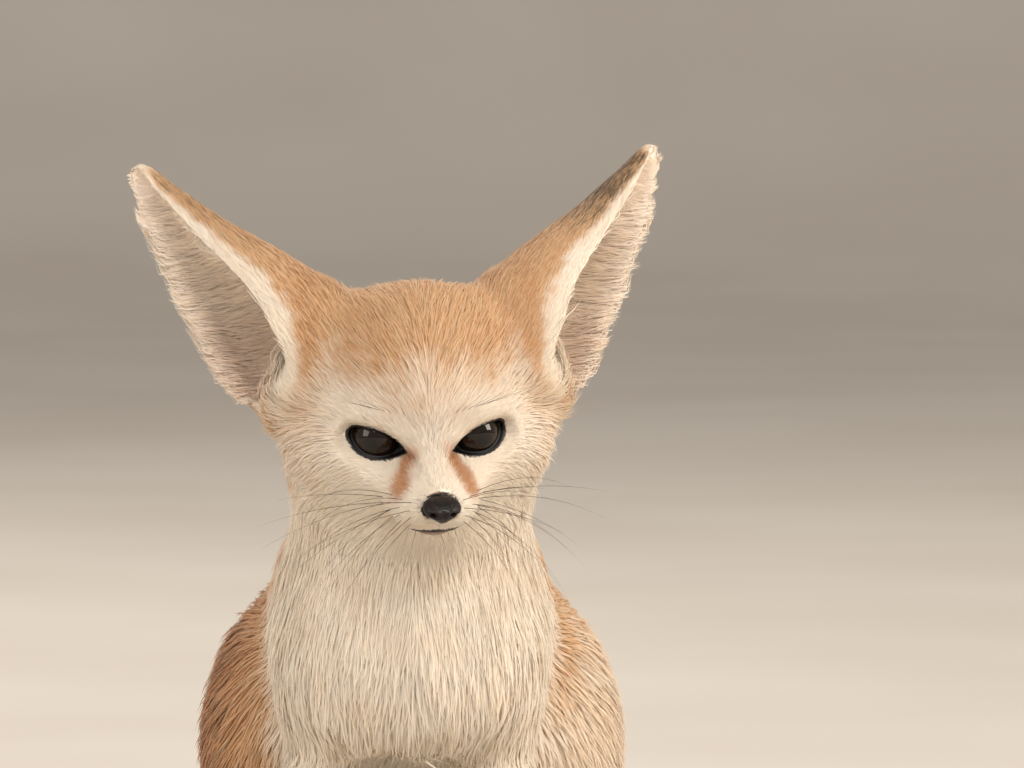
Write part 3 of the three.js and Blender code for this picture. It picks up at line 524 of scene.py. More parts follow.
# Round each eye the hide rises from the rim of the lids in an even slope, steeper toward the
# muzzle. The hide as it is then is kept for the lids to follow, and inside the almond it sinks
# behind the eyeball; behind the nose pad it draws back from the nostrils.
RIM_HEIGHT, RIM_LEAST = 0.25, 4.2
RIM_SLOPE, MUZZLE_SLOPE = 0.8, 1.4
RIM_FADE = (9, 16)
RIM_FREE = 40
SOCKET_GAPS, SOCKET_FLOOR = [0.0, 0.5, 0.9], [0.5, 2.5, 40]
SOCKET_REACH = 26
near_eye = np.zeros((len(form), 1))
for side in SIDES:
    place = in_eye(form, side)
    flat_reach = np.maximum(np.linalg.norm(place[:, :2], axis=1), 1e-3)
    gap = np.maximum(beside_almond(place), 0)
    inward = 1 - gap / flat_reach
    rim = np.maximum(eyeball_height(place[:, 0] * inward, place[:, 1] * inward), RIM_LEAST)
    inner = np.clip(-place[:, 0] / flat_reach, 0, 1)
    slope = RIM_SLOPE + (MUZZLE_SLOPE - RIM_SLOPE) * inner
    limit = rim + RIM_HEIGHT + slope * gap + RIM_FREE * ramp(gap, *RIM_FADE)
    lowered = np.where(place[:, 2] > 1, np.minimum(place[:, 2], limit), place[:, 2])
    change = (lowered - place[:, 2])[:, None] * np.array([0, 0, 1])
    form = form + (change @ eye_directions(side)) @ head_axes.T * MM
    near_eye[:, 0] += ramp(gap, 12, 5) * (place[:, 2] > 1)
form = eased(form, 6, 0.45 * np.clip(near_eye, 0, 1))
whole_hide = tree_of(form, quads)
for side in SIDES:
    place = in_eye(form, side)
    floor = np.interp(beside_almond(place), SOCKET_GAPS, SOCKET_FLOOR)
    near = (place[:, 2] > 1) & (np.linalg.norm(place, axis=1) < SOCKET_REACH)
    change = np.where(near, np.minimum(floor - place[:, 2], 0), 0)[:, None] * np.array([0, 0, 1])
    form = form + (change @ eye_directions(side)) @ head_axes.T * MM
behind_nose = ramp(np.linalg.norm((in_head(form) - NOSE_AT) / NOSE_BED, axis=1), 1.02, 0.8)
form = form + (behind_nose[:, None] * np.array([0, NOSE_BED_DEPTH, 0])) @ head_axes.T * MM
set_vertices(hide.data, form)
normals = hide_normals()
hide.data.polygons.foreach_set("use_smooth", np.ones(len(hide.data.polygons), bool))
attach(hide, "root")
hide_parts(*FLESH)

# The markings
# The same for hide and hair: sandy crown, ear backs, back and tail, rust streaks under the eyes
# and on the flank, cream face, chest and legs, and black at the tip of the tail and on the gland
# near its root. Each is a share from 0 to 1 at every vertex of the hide, with soft uneven borders.
INSIDE_FACING = -0.1
WAVE_SIZE, WAVE_SEED = 14 * MM, 3
FINE_SIZE, FINE_SEED = 5 * MM, 4
STREAK_TOP, STREAK_BESIDE, STREAK_SPREAD = -4.5, 7.8, 0.6
GLAND_AT = (3, 58)
MOUTH_RISE, MOUTH_HALF_WIDTH = 3.4, 15.5

side_of_head = np.where(in_head(form)[:, 0] > 0, 1, -1)
mirror = np.stack([side_of_head, np.ones(len(form)), np.ones(len(form))], 1)
ear_below, ear_turn, ear_share = np.where(
    side_of_head > 0, in_ear(form, "left"), in_ear(form, "right")
)
ear_open = np.interp(ear_below, EAR_BELOW_TIP, EAR_OPEN)


def ear_radial():
    """Directions out from each ear's middle line, at the hide's vertices."""
    turn = np.radians(ear_turn + EAR_FACING)
    local = np.sin(turn)[:, None] * EAR_ACROSS + np.cos(turn)[:, None] * EAR_AHEAD
    return (local * mirror) @ ear_axes.T


ear_outward = ear_radial()
looks_in = np.sum(normals * ear_outward, 1) < INSIDE_FACING
ear_inside = eased((looks_in * on["ear"])[:, None], 2)[:, 0]
ear_floor = ramp(ear_share, 0.8, 0.7) * ramp(ear_below, 78, 84)
ear_inside = np.maximum(ear_inside, on["ear"] * ear_floor)
ear_inside *= ramp(ear_share, 1.02, 0.9)


def noise(points, size, seed):
    """Soft random values from -1 to 1 that change over about `size` metres."""
    chance = np.random.default_rng(seed)
    total = 0
    for _ in range(7):
        direction = unit(chance.normal(size=3)) * (2 * math.pi / size) * chance.uniform(0.6, 1.5)
        total = total + np.sin(points @ direction + chance.uniform(0, 6.28))
    return total / 3


# The borders are given in millimetres: x, y and z in the head's own frame, body_x, body_y and
# body_z in the scene's, ear_below down from the ear's tip. ear_turn is in degrees.
x, y, z = in_head(form).T
wave = noise(form, WAVE_SIZE, WAVE_SEED)
fine = noise(form, FINE_SIZE, FINE_SEED)
body_x, body_y, body_z = (form / MM).T
body_middle = np.interp(body_y, [-170, -100, 100], [10, 8, 6])
aside = np.abs(body_x - body_middle)

# Sandy hair: crown, a breath of it on the outer cheek, nape, ear backs, back, rump and flank.
crown = 0.3 * ramp(z + 2 * fine, -4, 12) * ramp(y, -34, -24)
crown += 0.7 * ramp(z + 2.2 * wave + 2.5 * fine, 11, 35)
crown *= ramp(np.abs(x) + 2 * wave, 48, 32)
crown *= 1 - 0.8 * np.exp(-(((np.abs(x) - 23) / 8) ** 2) - (((z - 8) / 6) ** 2))
outer_cheek = 0.28 * ramp(np.abs(x), 26, 36) * ramp(np.abs(z + 2), 22, 6) * ramp(y, 34, 10)
nape = ramp(y + 3 * wave, 8, 24) * ramp(z, -32, -18)
ear_front = ramp(np.abs(ear_turn) - ear_open + 3 * fine, 14, 34)
ear_back = np.where(ear_turn < 0, ear_front, ramp(np.abs(ear_turn) - ear_open, 4, 16))
back = ramp(aside + 5 * wave, 62, 34) * ramp(body_z + 6 * wave, 70, 104)
rump = ramp(body_y + 4 * wave, -34, 2) * ramp(body_z + 4 * wave, 24, 42)
flank = ramp(body_z + 6 * wave, 30, 74) * ramp(body_y + 5 * wave, -118, -82)
looks_back = ramp(normals[:, 1] + 0.1 * wave, 0.1, 0.5)
neck_side = np.maximum(ramp(body_y + 5 * wave, -128, -104), looks_back)
right_side = ramp(body_x, 12, -8)
right_flank = ramp(body_x + 6 * wave, -10, -46) * ramp(body_y, -110, -70)
right_flank *= on["torso"] + on["thigh"]
sandy = on["head"] * np.clip(crown + outer_cheek + nape, 0, 1)
sandy += on["ear"] * ear_back * (1 - ear_inside) * ramp(ear_below + 2 * fine, 3, 12)
sandy += on["neck"] * neck_side
trunk = (0.35 + 0.65 * right_side) * flank * ramp(aside, 20, 44)
trunk += back * ramp(body_y, -120, -92) + rump
sandy += on["torso"] * np.clip(trunk, 0, 1)
sandy += (0.38 + 0.5 * right_side) * on["thigh"] * ramp(body_z + 5 * wave, 18, 62)
sandy += on["foreleg"] * 0.35 * ramp(body_x * np.sign(body_x - 8), 30, 44)
sandy += (on["hindpaw"] + on["forepaw"]) * 0.25 * ramp(body_z, 4, 16)
sandy += on["tail"]

# Rusty hair: the streaks from the eyes to the muzzle, the right flank, and flecks in the sandy.
streak_line = STREAK_BESIDE + STREAK_SPREAD * (STREAK_TOP - z)
streak = ramp(np.abs(np.abs(x) - streak_line + 0.6 * fine), 3.3, 0.8)
streak *= ramp(z, -17, -10) * ramp(z, 3, -3) * ramp(y, 2, -5) * on["head"]
rust = 0.85 * streak
rust += 0.08 * on["torso"] * ramp(aside + 6 * wave, 30, 52) * ramp(body_y, -100, -60)
rust += 0.75 * right_flank
rust += 0.35 * crown * on["head"] * ramp(fine, -0.2, 0.9)
rust += 0.35 * on["tail"] * ramp(wave, -0.6, 0.9)
rust += 0.3 * on["ear"] * ear_back * ramp(ear_below, 40, 90)

# Dark hair: gland, tail tip, grey edge of the ears, bridge of the nose, saddle and mouth corners, and
# painted shade darkening the right flank.
from_gland = np.hypot(body_y - GLAND_AT[1], (body_x - GLAND_AT[0]) * 1.4)
gland = on["tail"] * ramp(from_gland, 15, 6) * ramp(body_z, 22, 32)
tail_black = on["tail"] * ramp(body_y + 7 * wave, 152, 172)
ear_grey = 0.6 * on["ear"] * ear_back * ramp(ear_below, 74, 26) * ramp(ear_below, 3, 12)
ear_grey *= (1 - ear_inside) * np.where(ear_turn < 0, 1, 0.5) * np.where(side_of_head > 0, 1, 0.6)
bridge = 0.22 * on["head"] * ramp(np.abs(x), 14, 3) * ramp(np.abs(z - 3), 12, 4)
bridge += 0.14 * on["head"] * ramp(np.hypot(x, z + 7), 6, 2) * ramp(y, -24, -30)
# Painted shade: the right flank is darkened as the side turned away from the light.
painted_shade_right_flank = 0.36 * right_flank
saddle = 0.22 * on["torso"] * ramp(aside, 26, 8) * ramp(body_z, 110, 140)
dark = np.clip(tail_black + 0.8 * gland + ear_grey + bridge + saddle + painted_shade_right_flank, 0, 1)
beside_nose = np.linalg.norm((head_place - NOSE_AT) / NOSE_SIZE, axis=1)
nose_shade = 0.35 * ramp(beside_nose, 1.7, 1.15) * ramp(z, -15, -11) * on["head"]
mouth_height = MOUTH_FRONT + MOUTH_RISE * (np.abs(x) / MOUTH_HALF_WIDTH) ** 1.4
lip_shade = 0.6 * ramp(np.abs(z - mouth_height + 0.5), 3.2, 1.2)
lip_shade *= ramp(np.abs(x), 14, 8) * ramp(y, -12, -20)
dark = np.max([dark, nose_shade, lip_shade * on["head"]], axis=0)
inner_ear = ear_inside * ramp(np.abs(ear_turn) - ear_open, 8, 30)
marks = np.stack([np.clip(sandy, 0, 1), np.clip(rust, 0, 1), dark], 1)
marks = eased(marks, 2)

# The bare skin round the nose pad and the lids is black, and the hair that grows over it is not.
hide_marks = marks.copy()
nose_edge = ramp(beside_nose, 1.5, 1.25) * ramp(z, -18.5, -15) * on["head"]
hide_marks[:, 2] = np.maximum(hide_marks[:, 2], nose_edge)
for side in SIDES:
    place = in_eye(form, side)
    lid_edge = ramp(beside_almond(place), 1.3, 0.7) * (place[:, 2] > -2) * on["head"]
    hide_marks[:, 2] = np.maximum(hide_marks[:, 2], lid_edge)


class Signal:
    """A socket of a shader's node tree, so that its sums can be written as expressions."""

    def __init__(self, tree, socket):
        self.tree = tree
        self.socket = socket

    def node(self, kind, settings=None, sockets=None, output=0):
        """Makes a node of a kind: its settings first, then the values or links of its sockets."""
        made = self.tree.nodes.new(kind)
        for key, value in (settings or {}).items():
            setattr(made, key, value)
        for key, value in (sockets or {}).items():
            if isinstance(value, Signal):
                self.tree.links.new(value.socket, made.inputs[key])
            else:
                made.inputs[key].default_value = value
        return Signal(self.tree, made.outputs[output])

    def maths(self, operation, *terms):
        return self.node("ShaderNodeMath", {"operation": operation}, dict(enumerate(terms)))

    def __add__(self, other):
        return self.maths("ADD", self, other)

    def __sub__(self, other):
        return self.maths("SUBTRACT", self, other)

    def __rsub__(self, other):
        return self.maths("SUBTRACT", other, self)

    def __mul__(self, other):
        return self.maths("MULTIPLY", self, other)

    def __truediv__(self, other):
        return self.maths("DIVIDE", self, other)

    def __pow__(self, other):
        return self.maths("POWER", self, other)

    __radd__ = __add__
    __rmul__ = __mul__

    def between(self, low, high):
        """0 where the signal is low, 1 where it is high, smooth between."""
        settings = {"interpolation_type": "SMOOTHSTEP"}
        sockets = {"Value": self, "From Min": low, "From Max": high}
        return self.node("ShaderNodeMapRange", settings, sockets)

    def mix(self, first, second):
        """A colour mixed from two by this signal's share of the second."""
        sockets = {0: self, 6: first, 7: second}
        return self.node("ShaderNodeMix", {"data_type": "RGBA"}, sockets, output=2)

    def noise(self, scale, detail):
        """Noise on this signal's coordinates."""
        sockets = {"Vector": self, "Scale": scale, "Detail": detail}
        return self.node("ShaderNodeTexNoise", None, sockets)

    def attribute(self, name):
        """The vector kept under a name at the vertices of the piece."""
        return self.node("ShaderNodeAttribute", {"attribute_name": name}, None, 1)

    def bump(self, strength, distance):
        """The direction of a surface that this signal raises."""
        sockets = {"Strength": strength, "Distance": distance, "Height": self}
        return self.node("ShaderNodeBump", None, sockets)

    def parts(self):
        """The three numbers of a vector."""
        return [self.node("ShaderNodeSeparateXYZ", None, {0: self}, n) for n in range(3)]


def paint(red, green, blue):
    """A paint mixed by its screen values from 0 to 255, as a linear colour."""
    shares = [value / 255 for value in (red, green, blue)]
    linear = [s / 12.92 if s <= 0.04045 else ((s + 0.055) / 1.055) ** 2.4 for s in shares]
    return (*linear, 1)


def material(name, roughness, **constants):
    """A new material, its surface shader, and its object's coordinates as a signal."""
    made = bpy.data.materials.new(name)
    made.use_nodes = True
    tree = made.node_tree
    surface = tree.nodes["Principled BSDF"]
    surface.inputs["Roughness"].default_value = roughness
    for key, value in constants.items():
        surface.inputs[key.replace("_", " ")].default_value = value
    place = Signal(tree, tree.nodes.new("ShaderNodeTexCoord").outputs["Object"])
    return made, surface, place


def feed(surface, socket, signal):
    """Links a signal to a socket of the surface shader."""
    signal.tree.links.new(signal.socket, surface.inputs[socket])


# The colours of the coat, as they look in even light.
CREAM = paint(247, 234, 215)
WHITE = paint(252, 244, 231)
SANDY = paint(236, 205, 165)
DEEP_SANDY = paint(220, 178, 133)
RUST = paint(204, 146, 96)
SOOT = paint(112, 90, 72)
BLACK = paint(24, 19, 17)
EAR_PINK = paint(244, 230, 218)


def coat_colour(place):
    """The colour of coat or hide from the markings and, for hair, from its place on the strand, with
    painted shade toward the roots of the hairs and painted light inside the ears.
    """
    sandy_share, rust_share, dark_share = place.attribute("Marks").parts()
    along, chance, inner = place.attribute("Strand").parts()
    patch = place.noise(70, 3)
    streaks = place.noise(420, 2)
    cream = patch.between(0.1, 0.9).mix(CREAM, WHITE)
    warm = (0.62 * chance + 0.5 * streaks).between(0.2, 0.9).mix(SANDY, DEEP_SANDY)
    shade = (sandy_share * 1.25 - 0.12 + 0.25 * (chance - 0.5)).between(0, 1)
    colour = shade.mix(cream, warm)
    colour = (rust_share * (0.75 + 0.5 * chance)).between(0, 1).mix(colour, RUST)
    colour = (inner * (1 - along)).mix(colour, EAR_PINK)
    sooty = (dark_share * 1.35 - 0.6 * chance).between(0, 0.75)
    black = dark_share.between(0.75, 1)
    colour = sooty.mix(colour, SOOT)
    colour = black.mix(colour, BLACK)
    # Brightness: painted shade toward each hair's root, where hairs shade one another; random tone from
    # hair to hair; and painted light that lifts the insides of the ears out of their shade.
    light = 0.9 + 0.1 * along + 0.1 * (chance - 0.5) + 0.1 * inner
    grey = light.node("ShaderNodeCombineColor", None, {0: light, 1: light, 2: light})
    settings = {"data_type": "RGBA", "blend_type": "MULTIPLY"}
    return light.node("ShaderNodeMix", settings, {0: 1.0, 6: colour, 7: grey}, output=2)


def add_attribute(mesh, name, values):
    """A vector at each vertex of a mesh, for its material to read."""
    layer = mesh.attributes.new(name, "FLOAT_VECTOR", "POINT")
    layer.data.foreach_set("vector", values.astype(np.float32).ravel())


# The hide takes the colour of the middle of an even strand.
STRAND_MIDDLE, EVEN_CHANCE = 0.55, 0.5
even = np.ones(len(form))
# The third value gives the hide inside the ears the pink of bare skin, and also lifts it with painted
# light.
hide_strand = np.stack([STRAND_MIDDLE * even, EVEN_CHANCE * even, inner_ear], 1)
add_attribute(hide.data, "Marks", hide_marks)
add_attribute(hide.data, "Strand", hide_strand)
hide_finish, surface, place = material("hide and underfur", 0.85, Sheen_Weight=0.25)
feed(surface, "Base Color", coat_colour(place))
nap = place.noise(900, 3) + 0.5 * place.noise(2600, 2)
feed(surface, "Normal", nap.bump(0.5, 0.6 * MM))
hide.data.materials.append(hide_finish)

# The eyes
# Glass eyes, as a taxidermist sets: a dark brown iris that fills the opening of the lids, a black
# pupil a little taller than wide, and a clear polished front.
IRIS_REACH, PUPIL_REACH = 8.6, 3.1
iris_finish, surface, place = material("glass eye", 0.03, IOR=1.4)
across, upward, _ = place.attribute("Gaze").parts()
reach = (across * across + upward * upward) ** 0.5
pupil = (across * across * 1.5 + upward * upward * 0.8) ** 0.5
fibres = place.noise(1500, 2)
iris = (fibres * 0.6 + reach / IRIS_REACH * 0.4).between(0.25, 0.85)
colour = iris.mix(paint(30, 17, 8), paint(20, 11, 5))
colour = reach.between(IRIS_REACH * 0.8, IRIS_REACH).mix(colour, paint(10, 7, 6))
colour = pupil.between(PUPIL_REACH + 0.5, PUPIL_REACH - 0.3).mix(colour, paint(17, 10, 5))
feed(surface, "Base Color", colour)
for side in SIDES:
    bpy.ops.object.select_all(action="DESELECT")
    bpy.ops.mesh.primitive_uv_sphere_add(
        segments=72, ring_count=48, radius=EYE_RADIUS * MM, location=eye_centre[side]
    )
    eye = bpy.context.active_object
    eye.name = f"eyeball_{side}"
    bpy.ops.object.transform_apply(location=True)
    bpy.ops.object.shade_smooth()
    eye_places = in_eye(vertices_of(eye.data), side)
    bulge = CORNEA * ramp(np.hypot(eye_places[:, 0], eye_places[:, 1]), CORNEA_REACH, CORNEA_TOP)
    bulge = (eye_places[:, 2] > 0)[:, None] * bulge[:, None] * eye_directions(side)[2]
    set_vertices(eye.data, vertices_of(eye.data) + bulge @ head_axes.T * MM)
    add_attribute(eye.data, "Gaze", eye_places)
    eye.data.materials.append(iris_finish)
    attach(eye, "root")
    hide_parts(f"eye_{side}")

# The lids
# A rim of bare black skin round each eye, moulded in one ring: it grips the eyeball, rolls over
# its edge and runs out under the short hair, drawn to a long dark point at the inner corner.
LID_POINTS = 72
# Each ring of the lid: how far outside the almond, how far it stands up, and how far it has left
# the eyeball for the hide.
LID_PROFILE = [
    (-3.2, -1.2, 0.0),
    (-1.6, -0.5, 0.0),
    (-0.5, -0.02, 0.0),
    (-0.12, 0.26, 0.15),
    (0.2, 0.5, 0.6),
    (0.6, 0.5, 0.95),
    (1.1, 0.2, 1.0),
    (2.2, -0.6, 1.0),
]
CORNER_HEIGHT = 4.0

# The outer rings find the hide this far outside the almond, along lines from well ahead of it.
HIDE_OUTSIDE, HIDE_MISSED = 0.9, 5.0
START_AHEAD = 34
LID_EASING = 4


def almond_line(grow):
    """Points round the almond of the lids, along the slit and up, widened by `grow`."""
    turn = np.linspace(0, 2 * math.pi, LID_POINTS, endpoint=False)
    cos, sin = np.cos(turn), np.sin(turn)
    inner = np.clip(-cos, 0, 1)
    along = cos * np.where(cos > 0, ALMOND["outer"] + grow, ALMOND["inner"] + grow)
    height = np.where(sin > 0, ALMOND["up"], ALMOND["down"]) + grow
    narrow = 1 - ALMOND["drawn_in"] * inner**3
    return along, sin * height * narrow - ALMOND["inner_drop"] * inner**2


def lid_ring(side, grow, stand, left):
    """One ring of a lid as points of the scene."""
    along, up = almond_line(grow)
    axes = eye_directions(side)
    centre = in_head(eye_centre[side])
    toward = Vector(head_axes @ -axes[2])
    over = []
    for a, b in zip(*almond_line(max(grow, HIDE_OUTSIDE))):
        start = from_head(np.array([a, b, START_AHEAD]) @ axes + centre)
        hit = whole_hide.ray_cast(Vector(start), toward, RAY_REACH)[0]
        over.append(in_eye([hit], side)[0, 2] if hit else HIDE_MISSED)
    over = np.array(over)
    for _ in range(LID_EASING):
        over = 0.5 * over + 0.25 * (np.roll(over, 1) + np.roll(over, -1))
    deep = np.maximum(eyeball_height(along, up), CORNER_HEIGHT + ramp(along, -5, -8.5))
    ahead = deep + (over - deep) * left + stand
    return from_head(np.stack([along, up, ahead], 1) @ axes + centre)


lid_finish, surface, place = material("lid skin", 0.42, IOR=1.35)
outward_share = place.attribute("Rim").parts()[0]
creases = place.noise(1800, 3)
outer_share = (outward_share + 0.25 * (creases - 0.5)).between(0.6, 1.1)
feed(surface, "Base Color", outer_share.mix(paint(13, 10, 9), paint(70, 50, 40)))
feed(surface, "Normal", creases.bump(0.4, 0.3 * MM))
for side in SIDES:
    points = [lid_ring(side, *ring) for ring in LID_PROFILE]
    lids = ring_mesh(f"lids_{side}", points)
    shares = np.repeat(np.linspace(0, 1, len(points)), LID_POINTS)
    add_attribute(lids.data, "Rim", np.stack([shares] * 3, 1))
    if SIDES[side] > 0:
        lids.data.flip_normals()
    lids.data.materials.append(lid_finish)
    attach(lids, "root")

# The nose
# A pad of bare black leather, broad above and drawn in below, with two comma-shaped nostrils, a
# groove down the middle, and the pebbled grain of a fox's nose.
bpy.ops.object.select_all(action="DESELECT")
bpy.ops.mesh.primitive_uv_sphere_add(segments=128, ring_count=80, radius=1)
nose = bpy.context.active_object
nose.name = "nose_pad"
bpy.ops.object.shade_smooth()
ball = vertices_of(nose.data)
bx, by, bz = ball.T
narrow = 1 - 0.52 * ramp(-bz, -0.2, 1) ** 1.2
flat_top = 1 - 0.1 * ramp(bz, 0.3, 1)
shape = ball * NOSE_SIZE * np.stack([narrow, np.ones(len(ball)), flat_top], 1)
shape[:, 2] += 0.9 * by * ramp(bz, -1, 1)
shape[:, 1] -= 0.5 * ramp(bz, -0.9, 0.5) * ramp(-by, 0, 1)

# Each nostril, in shares of the pad's half size: a round hole, the comma that runs out from it, and
# the wing that stands round both.
ahead_share = ramp(-by, 0.05, 0.5)
for sign in SIDES.values():
    hole = np.hypot((bx - sign * 0.5) / 0.17, (bz - 0.02) / 0.16)
    comma = np.hypot((bx - sign * 0.74) / 0.24, (bz + 0.12 + 0.3 * (np.abs(bx) - 0.7)) / 0.09)
    wing = np.exp(-((np.hypot(bx - sign * 0.52, bz - 0.06) - 0.36) / 0.13) ** 2)
    sunk = 2.2 * np.exp(-(hole**2.4)) + 1.4 * np.exp(-(comma**2)) - 0.28 * wing
    shape[:, 1] += ahead_share * sunk
groove = np.exp(-((bx / 0.055) ** 2)) * ramp(bz, 0.35, 0.0) * ahead_share
shape[:, 1] += 0.55 * groove
set_vertices(nose.data, from_head(shape + NOSE_AT))
nose_finish, surface, place = material(
    "nose leather", 0.4, Coat_Weight=0.1, Coat_Roughness=0.2, IOR=1.32
)
pebbles = place.node("ShaderNodeTexVoronoi", None, {"Vector": place, "Scale": 1500})
mottle = place.noise(260, 2)
feed(surface, "Base Color", mottle.between(0.4, 0.75).mix(paint(13, 9, 8), paint(38, 25, 21)))
feed(surface, "Roughness", 0.3 + 0.25 * mottle)
feed(surface, "Normal", pebbles.bump(0.55, 0.25 * MM))
nose.data.materials.append(nose_finish)
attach(nose, "root")
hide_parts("nose")

# The lips
# Thin rolled edges of dark skin along the mouth, from corner to corner, with the paler lower lip
# below them and the short seam that joins the upper lip to the nose.
MOUTH_TURN = math.radians(60)
MOUTH_POINTS = 41
SEAM_POINTS = 7
FOLDS, FOLD_STEP = 4, 0.2 * MM
hide_tree = tree_of(form, quads)


def on_hide(start, toward):
    """Where a line from a place inside the head comes out of the hide, past its folds, and the
    outward direction there."""
    origin = Vector(from_head(start))
    way = Vector(head_axes @ np.array(toward)).normalized()
    for _ in range(FOLDS):
        place, normal, _, _ = hide_tree.ray_cast(origin, way)
        if place is None or normal.dot(way) > 0:
            break
        origin = place + way * FOLD_STEP
    if place is None:
        place, normal, _, _ = hide_tree.find_nearest(origin)
    return in_head(place), head_axes.T @ np.array(normal)


def mouth_point(across, lower):
    """A point of the line of the mouth, from -1 at its right corner to 1 at its left."""
    back = abs(across)
    dip = 0.9 * math.cos(math.pi * across * 1.6) * (1 - back)
    height = MOUTH_FRONT + (MOUTH_CORNER - MOUTH_FRONT) * back**1.4 + dip - lower
    turn = across * MOUTH_TURN
    return on_hide((0, -8 + 4 * back, height), (math.sin(turn), -math.cos(turn), 0))


def cord_mesh(name, line, radii, sides=8):
    """A tapered round strand along a line of points."""
    line = np.asarray(line, float)
    along = unit(np.gradient(line, axis=0))
    across = unit(np.cross(along, np.array([0.13, 0.2, 1.0])))
    other = np.cross(along, across)
    turn = np.linspace(0, 2 * math.pi, sides, endpoint=False)
    rings = [
        point + radius * (np.outer(np.cos(turn), a) + np.outer(np.sin(turn), b))
        for point, radius, a, b in zip(line, radii, across, other)
    ]
    return ring_mesh(name, rings)


lip_finish, surface, place = material("lip skin", 0.45, Coat_Weight=0.1)
mottle = place.noise(500, 2).between(0.35, 0.7)
feed(surface, "Base Color", mottle.mix(paint(40, 28, 25), paint(66, 47, 41)))
lower_finish, surface, place = material("lower lip skin", 0.5)
mottle = place.noise(600, 2).between(0.3, 0.7)
feed(surface, "Base Color", mottle.mix(paint(164, 144, 130), paint(132, 112, 100)))
mouth_line = []
for name, lower, radius, reach, sink, finish in (
    ("upper_lip", 0, 0.95, 1.0, 0.1, lip_finish),
    ("lower_lip", 1.8, 1.1, 0.62, 0.3, lower_finish),
):
    shares = np.linspace(-reach, reach, MOUTH_POINTS)
    line = []
    for share in shares:
        spot, outward = mouth_point(share, lower)
        line.append(from_head(spot - outward * sink))
        mouth_line.append(from_head(spot))
    taper = np.clip(1 - (shares / reach) ** 2, 0.02, 1) ** 0.5
    lip = cord_mesh(name, line, radius * MM * taper)
    lip.data.materials.append(finish)
    face_outward(lip)
    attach(lip, "root")
mouth_line = np.array(mouth_line)
seam_line = []
for share in np.linspace(0, 1, SEAM_POINTS):
    inside = (NOSE_AT[0] * (1 - 0.5 * share), -10, -17.2 - 7.0 * share)
    spot, outward = on_hide(inside, (0, -1, 0))
    seam_line.append(from_head(spot - outward * 0.1))
seam = cord_mesh("lip_seam", seam_line, np.linspace(0.5, 0.42, SEAM_POINTS) * MM)
seam.data.materials.append(lip_finish)
face_outward(seam)
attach(seam, "root")

# The coat
# Hair in fine flat tufts rooted in the hide and lying over one another: away from the nose on the
# head, from root to tip on the ears and tail, down the chest and legs, and back over the body.
# Shortest on the muzzle and feet, long on the chest and tail, with a fringe in the ears.

# Each kind of hair: length and width in millimetres, tufts to a square millimetre, and lift from
# the hide in degrees.
COAT = {
    "muzzle": {"length": 3.0, "width": 0.28, "per_mm2": 8.5, "lift": 15},
    "face": {"length": 5.5, "width": 0.31, "per_mm2": 6.5, "lift": 16},
    "crown": {"length": 10.0, "width": 0.38, "per_mm2": 4.5, "lift": 20},
    "cheek": {"length": 14.0, "width": 0.42, "per_mm2": 3.4, "lift": 22},
    "ear_back": {"length": 5.0, "width": 0.4, "per_mm2": 2.6, "lift": 12},
    "ear_inside": {"length": 17.0, "width": 0.42, "per_mm2": 2.0, "lift": 15},
    "neck": {"length": 17.0, "width": 0.46, "per_mm2": 2.8, "lift": 10},
    "torso": {"length": 17.0, "width": 0.76, "per_mm2": 0.77, "lift": 13},
    "thigh": {"length": 15.0, "width": 0.66, "per_mm2": 1.25, "lift": 15},
    "foreleg": {"length": 7.5, "width": 0.62, "per_mm2": 1.0, "lift": 13},
    "forepaw": {"length": 4.0, "width": 0.48, "per_mm2": 1.7, "lift": 12},
    "hindpaw": {"length": 4.5, "width": 0.5, "per_mm2": 1.4, "lift": 12},
    "tail": {"length": 25.0, "width": 0.95, "per_mm2": 0.85, "lift": 19},
}
HAIR_PLACES = np.array([0, 1 / 3, 2 / 3, 1])
HAIR_WIDTHS = np.array([0.75, 1.0, 0.66])

# A tuft is a blade of three faces: the left edge's three points, the right edge's and the tip.
TUFT_POINTS = 7
TUFT_CORNERS = np.array([0, 3, 4, 1, 1, 4, 5, 2, 2, 5, 6])
TUFT_FACES = [4, 4, 3]
TUFT_PLACES = np.array([*HAIR_PLACES[:3], *HAIR_PLACES[:3], 1])
TUFT_PATCH = np.array([[-1, -1], [-1, -0.3], [-1, 0.4], [1, -1], [1, -0.3], [1, 0.4], [0, 1]])

muzzle_share = on["head"] * ramp(from_nose, 30, 16)
face_share = on["head"] * ramp(from_nose, 62, 40) * ramp(z, 26, 12) * ramp(np.abs(x), 38, 26)
face_share = np.clip(face_share - muzzle_share, 0, 1)
crown_share = np.clip(on["head"] * ramp(z, 4, 20) - face_share, 0, 1)
cheek_share = np.clip(on["head"] - muzzle_share - face_share - crown_share, 0, 1)
grows = {
    "muzzle": muzzle_share,
    "face": face_share,
    "crown": crown_share,
    "cheek": cheek_share,
    "ear_back": on["ear"] * (1 - ear_inside),
    "ear_inside": on["ear"] * ear_inside,
    **{part: on[part] for part in PARTS if part in COAT},
}
total_share = np.maximum(sum(grows.values()), 1e-6)


def coat_value(key):
    """One of the coat's measures at each vertex of the hide."""
    value = sum(share * COAT[part][key] for part, share in grows.items()) / total_share
    return eased(value[:, None], 3)[:, 0]


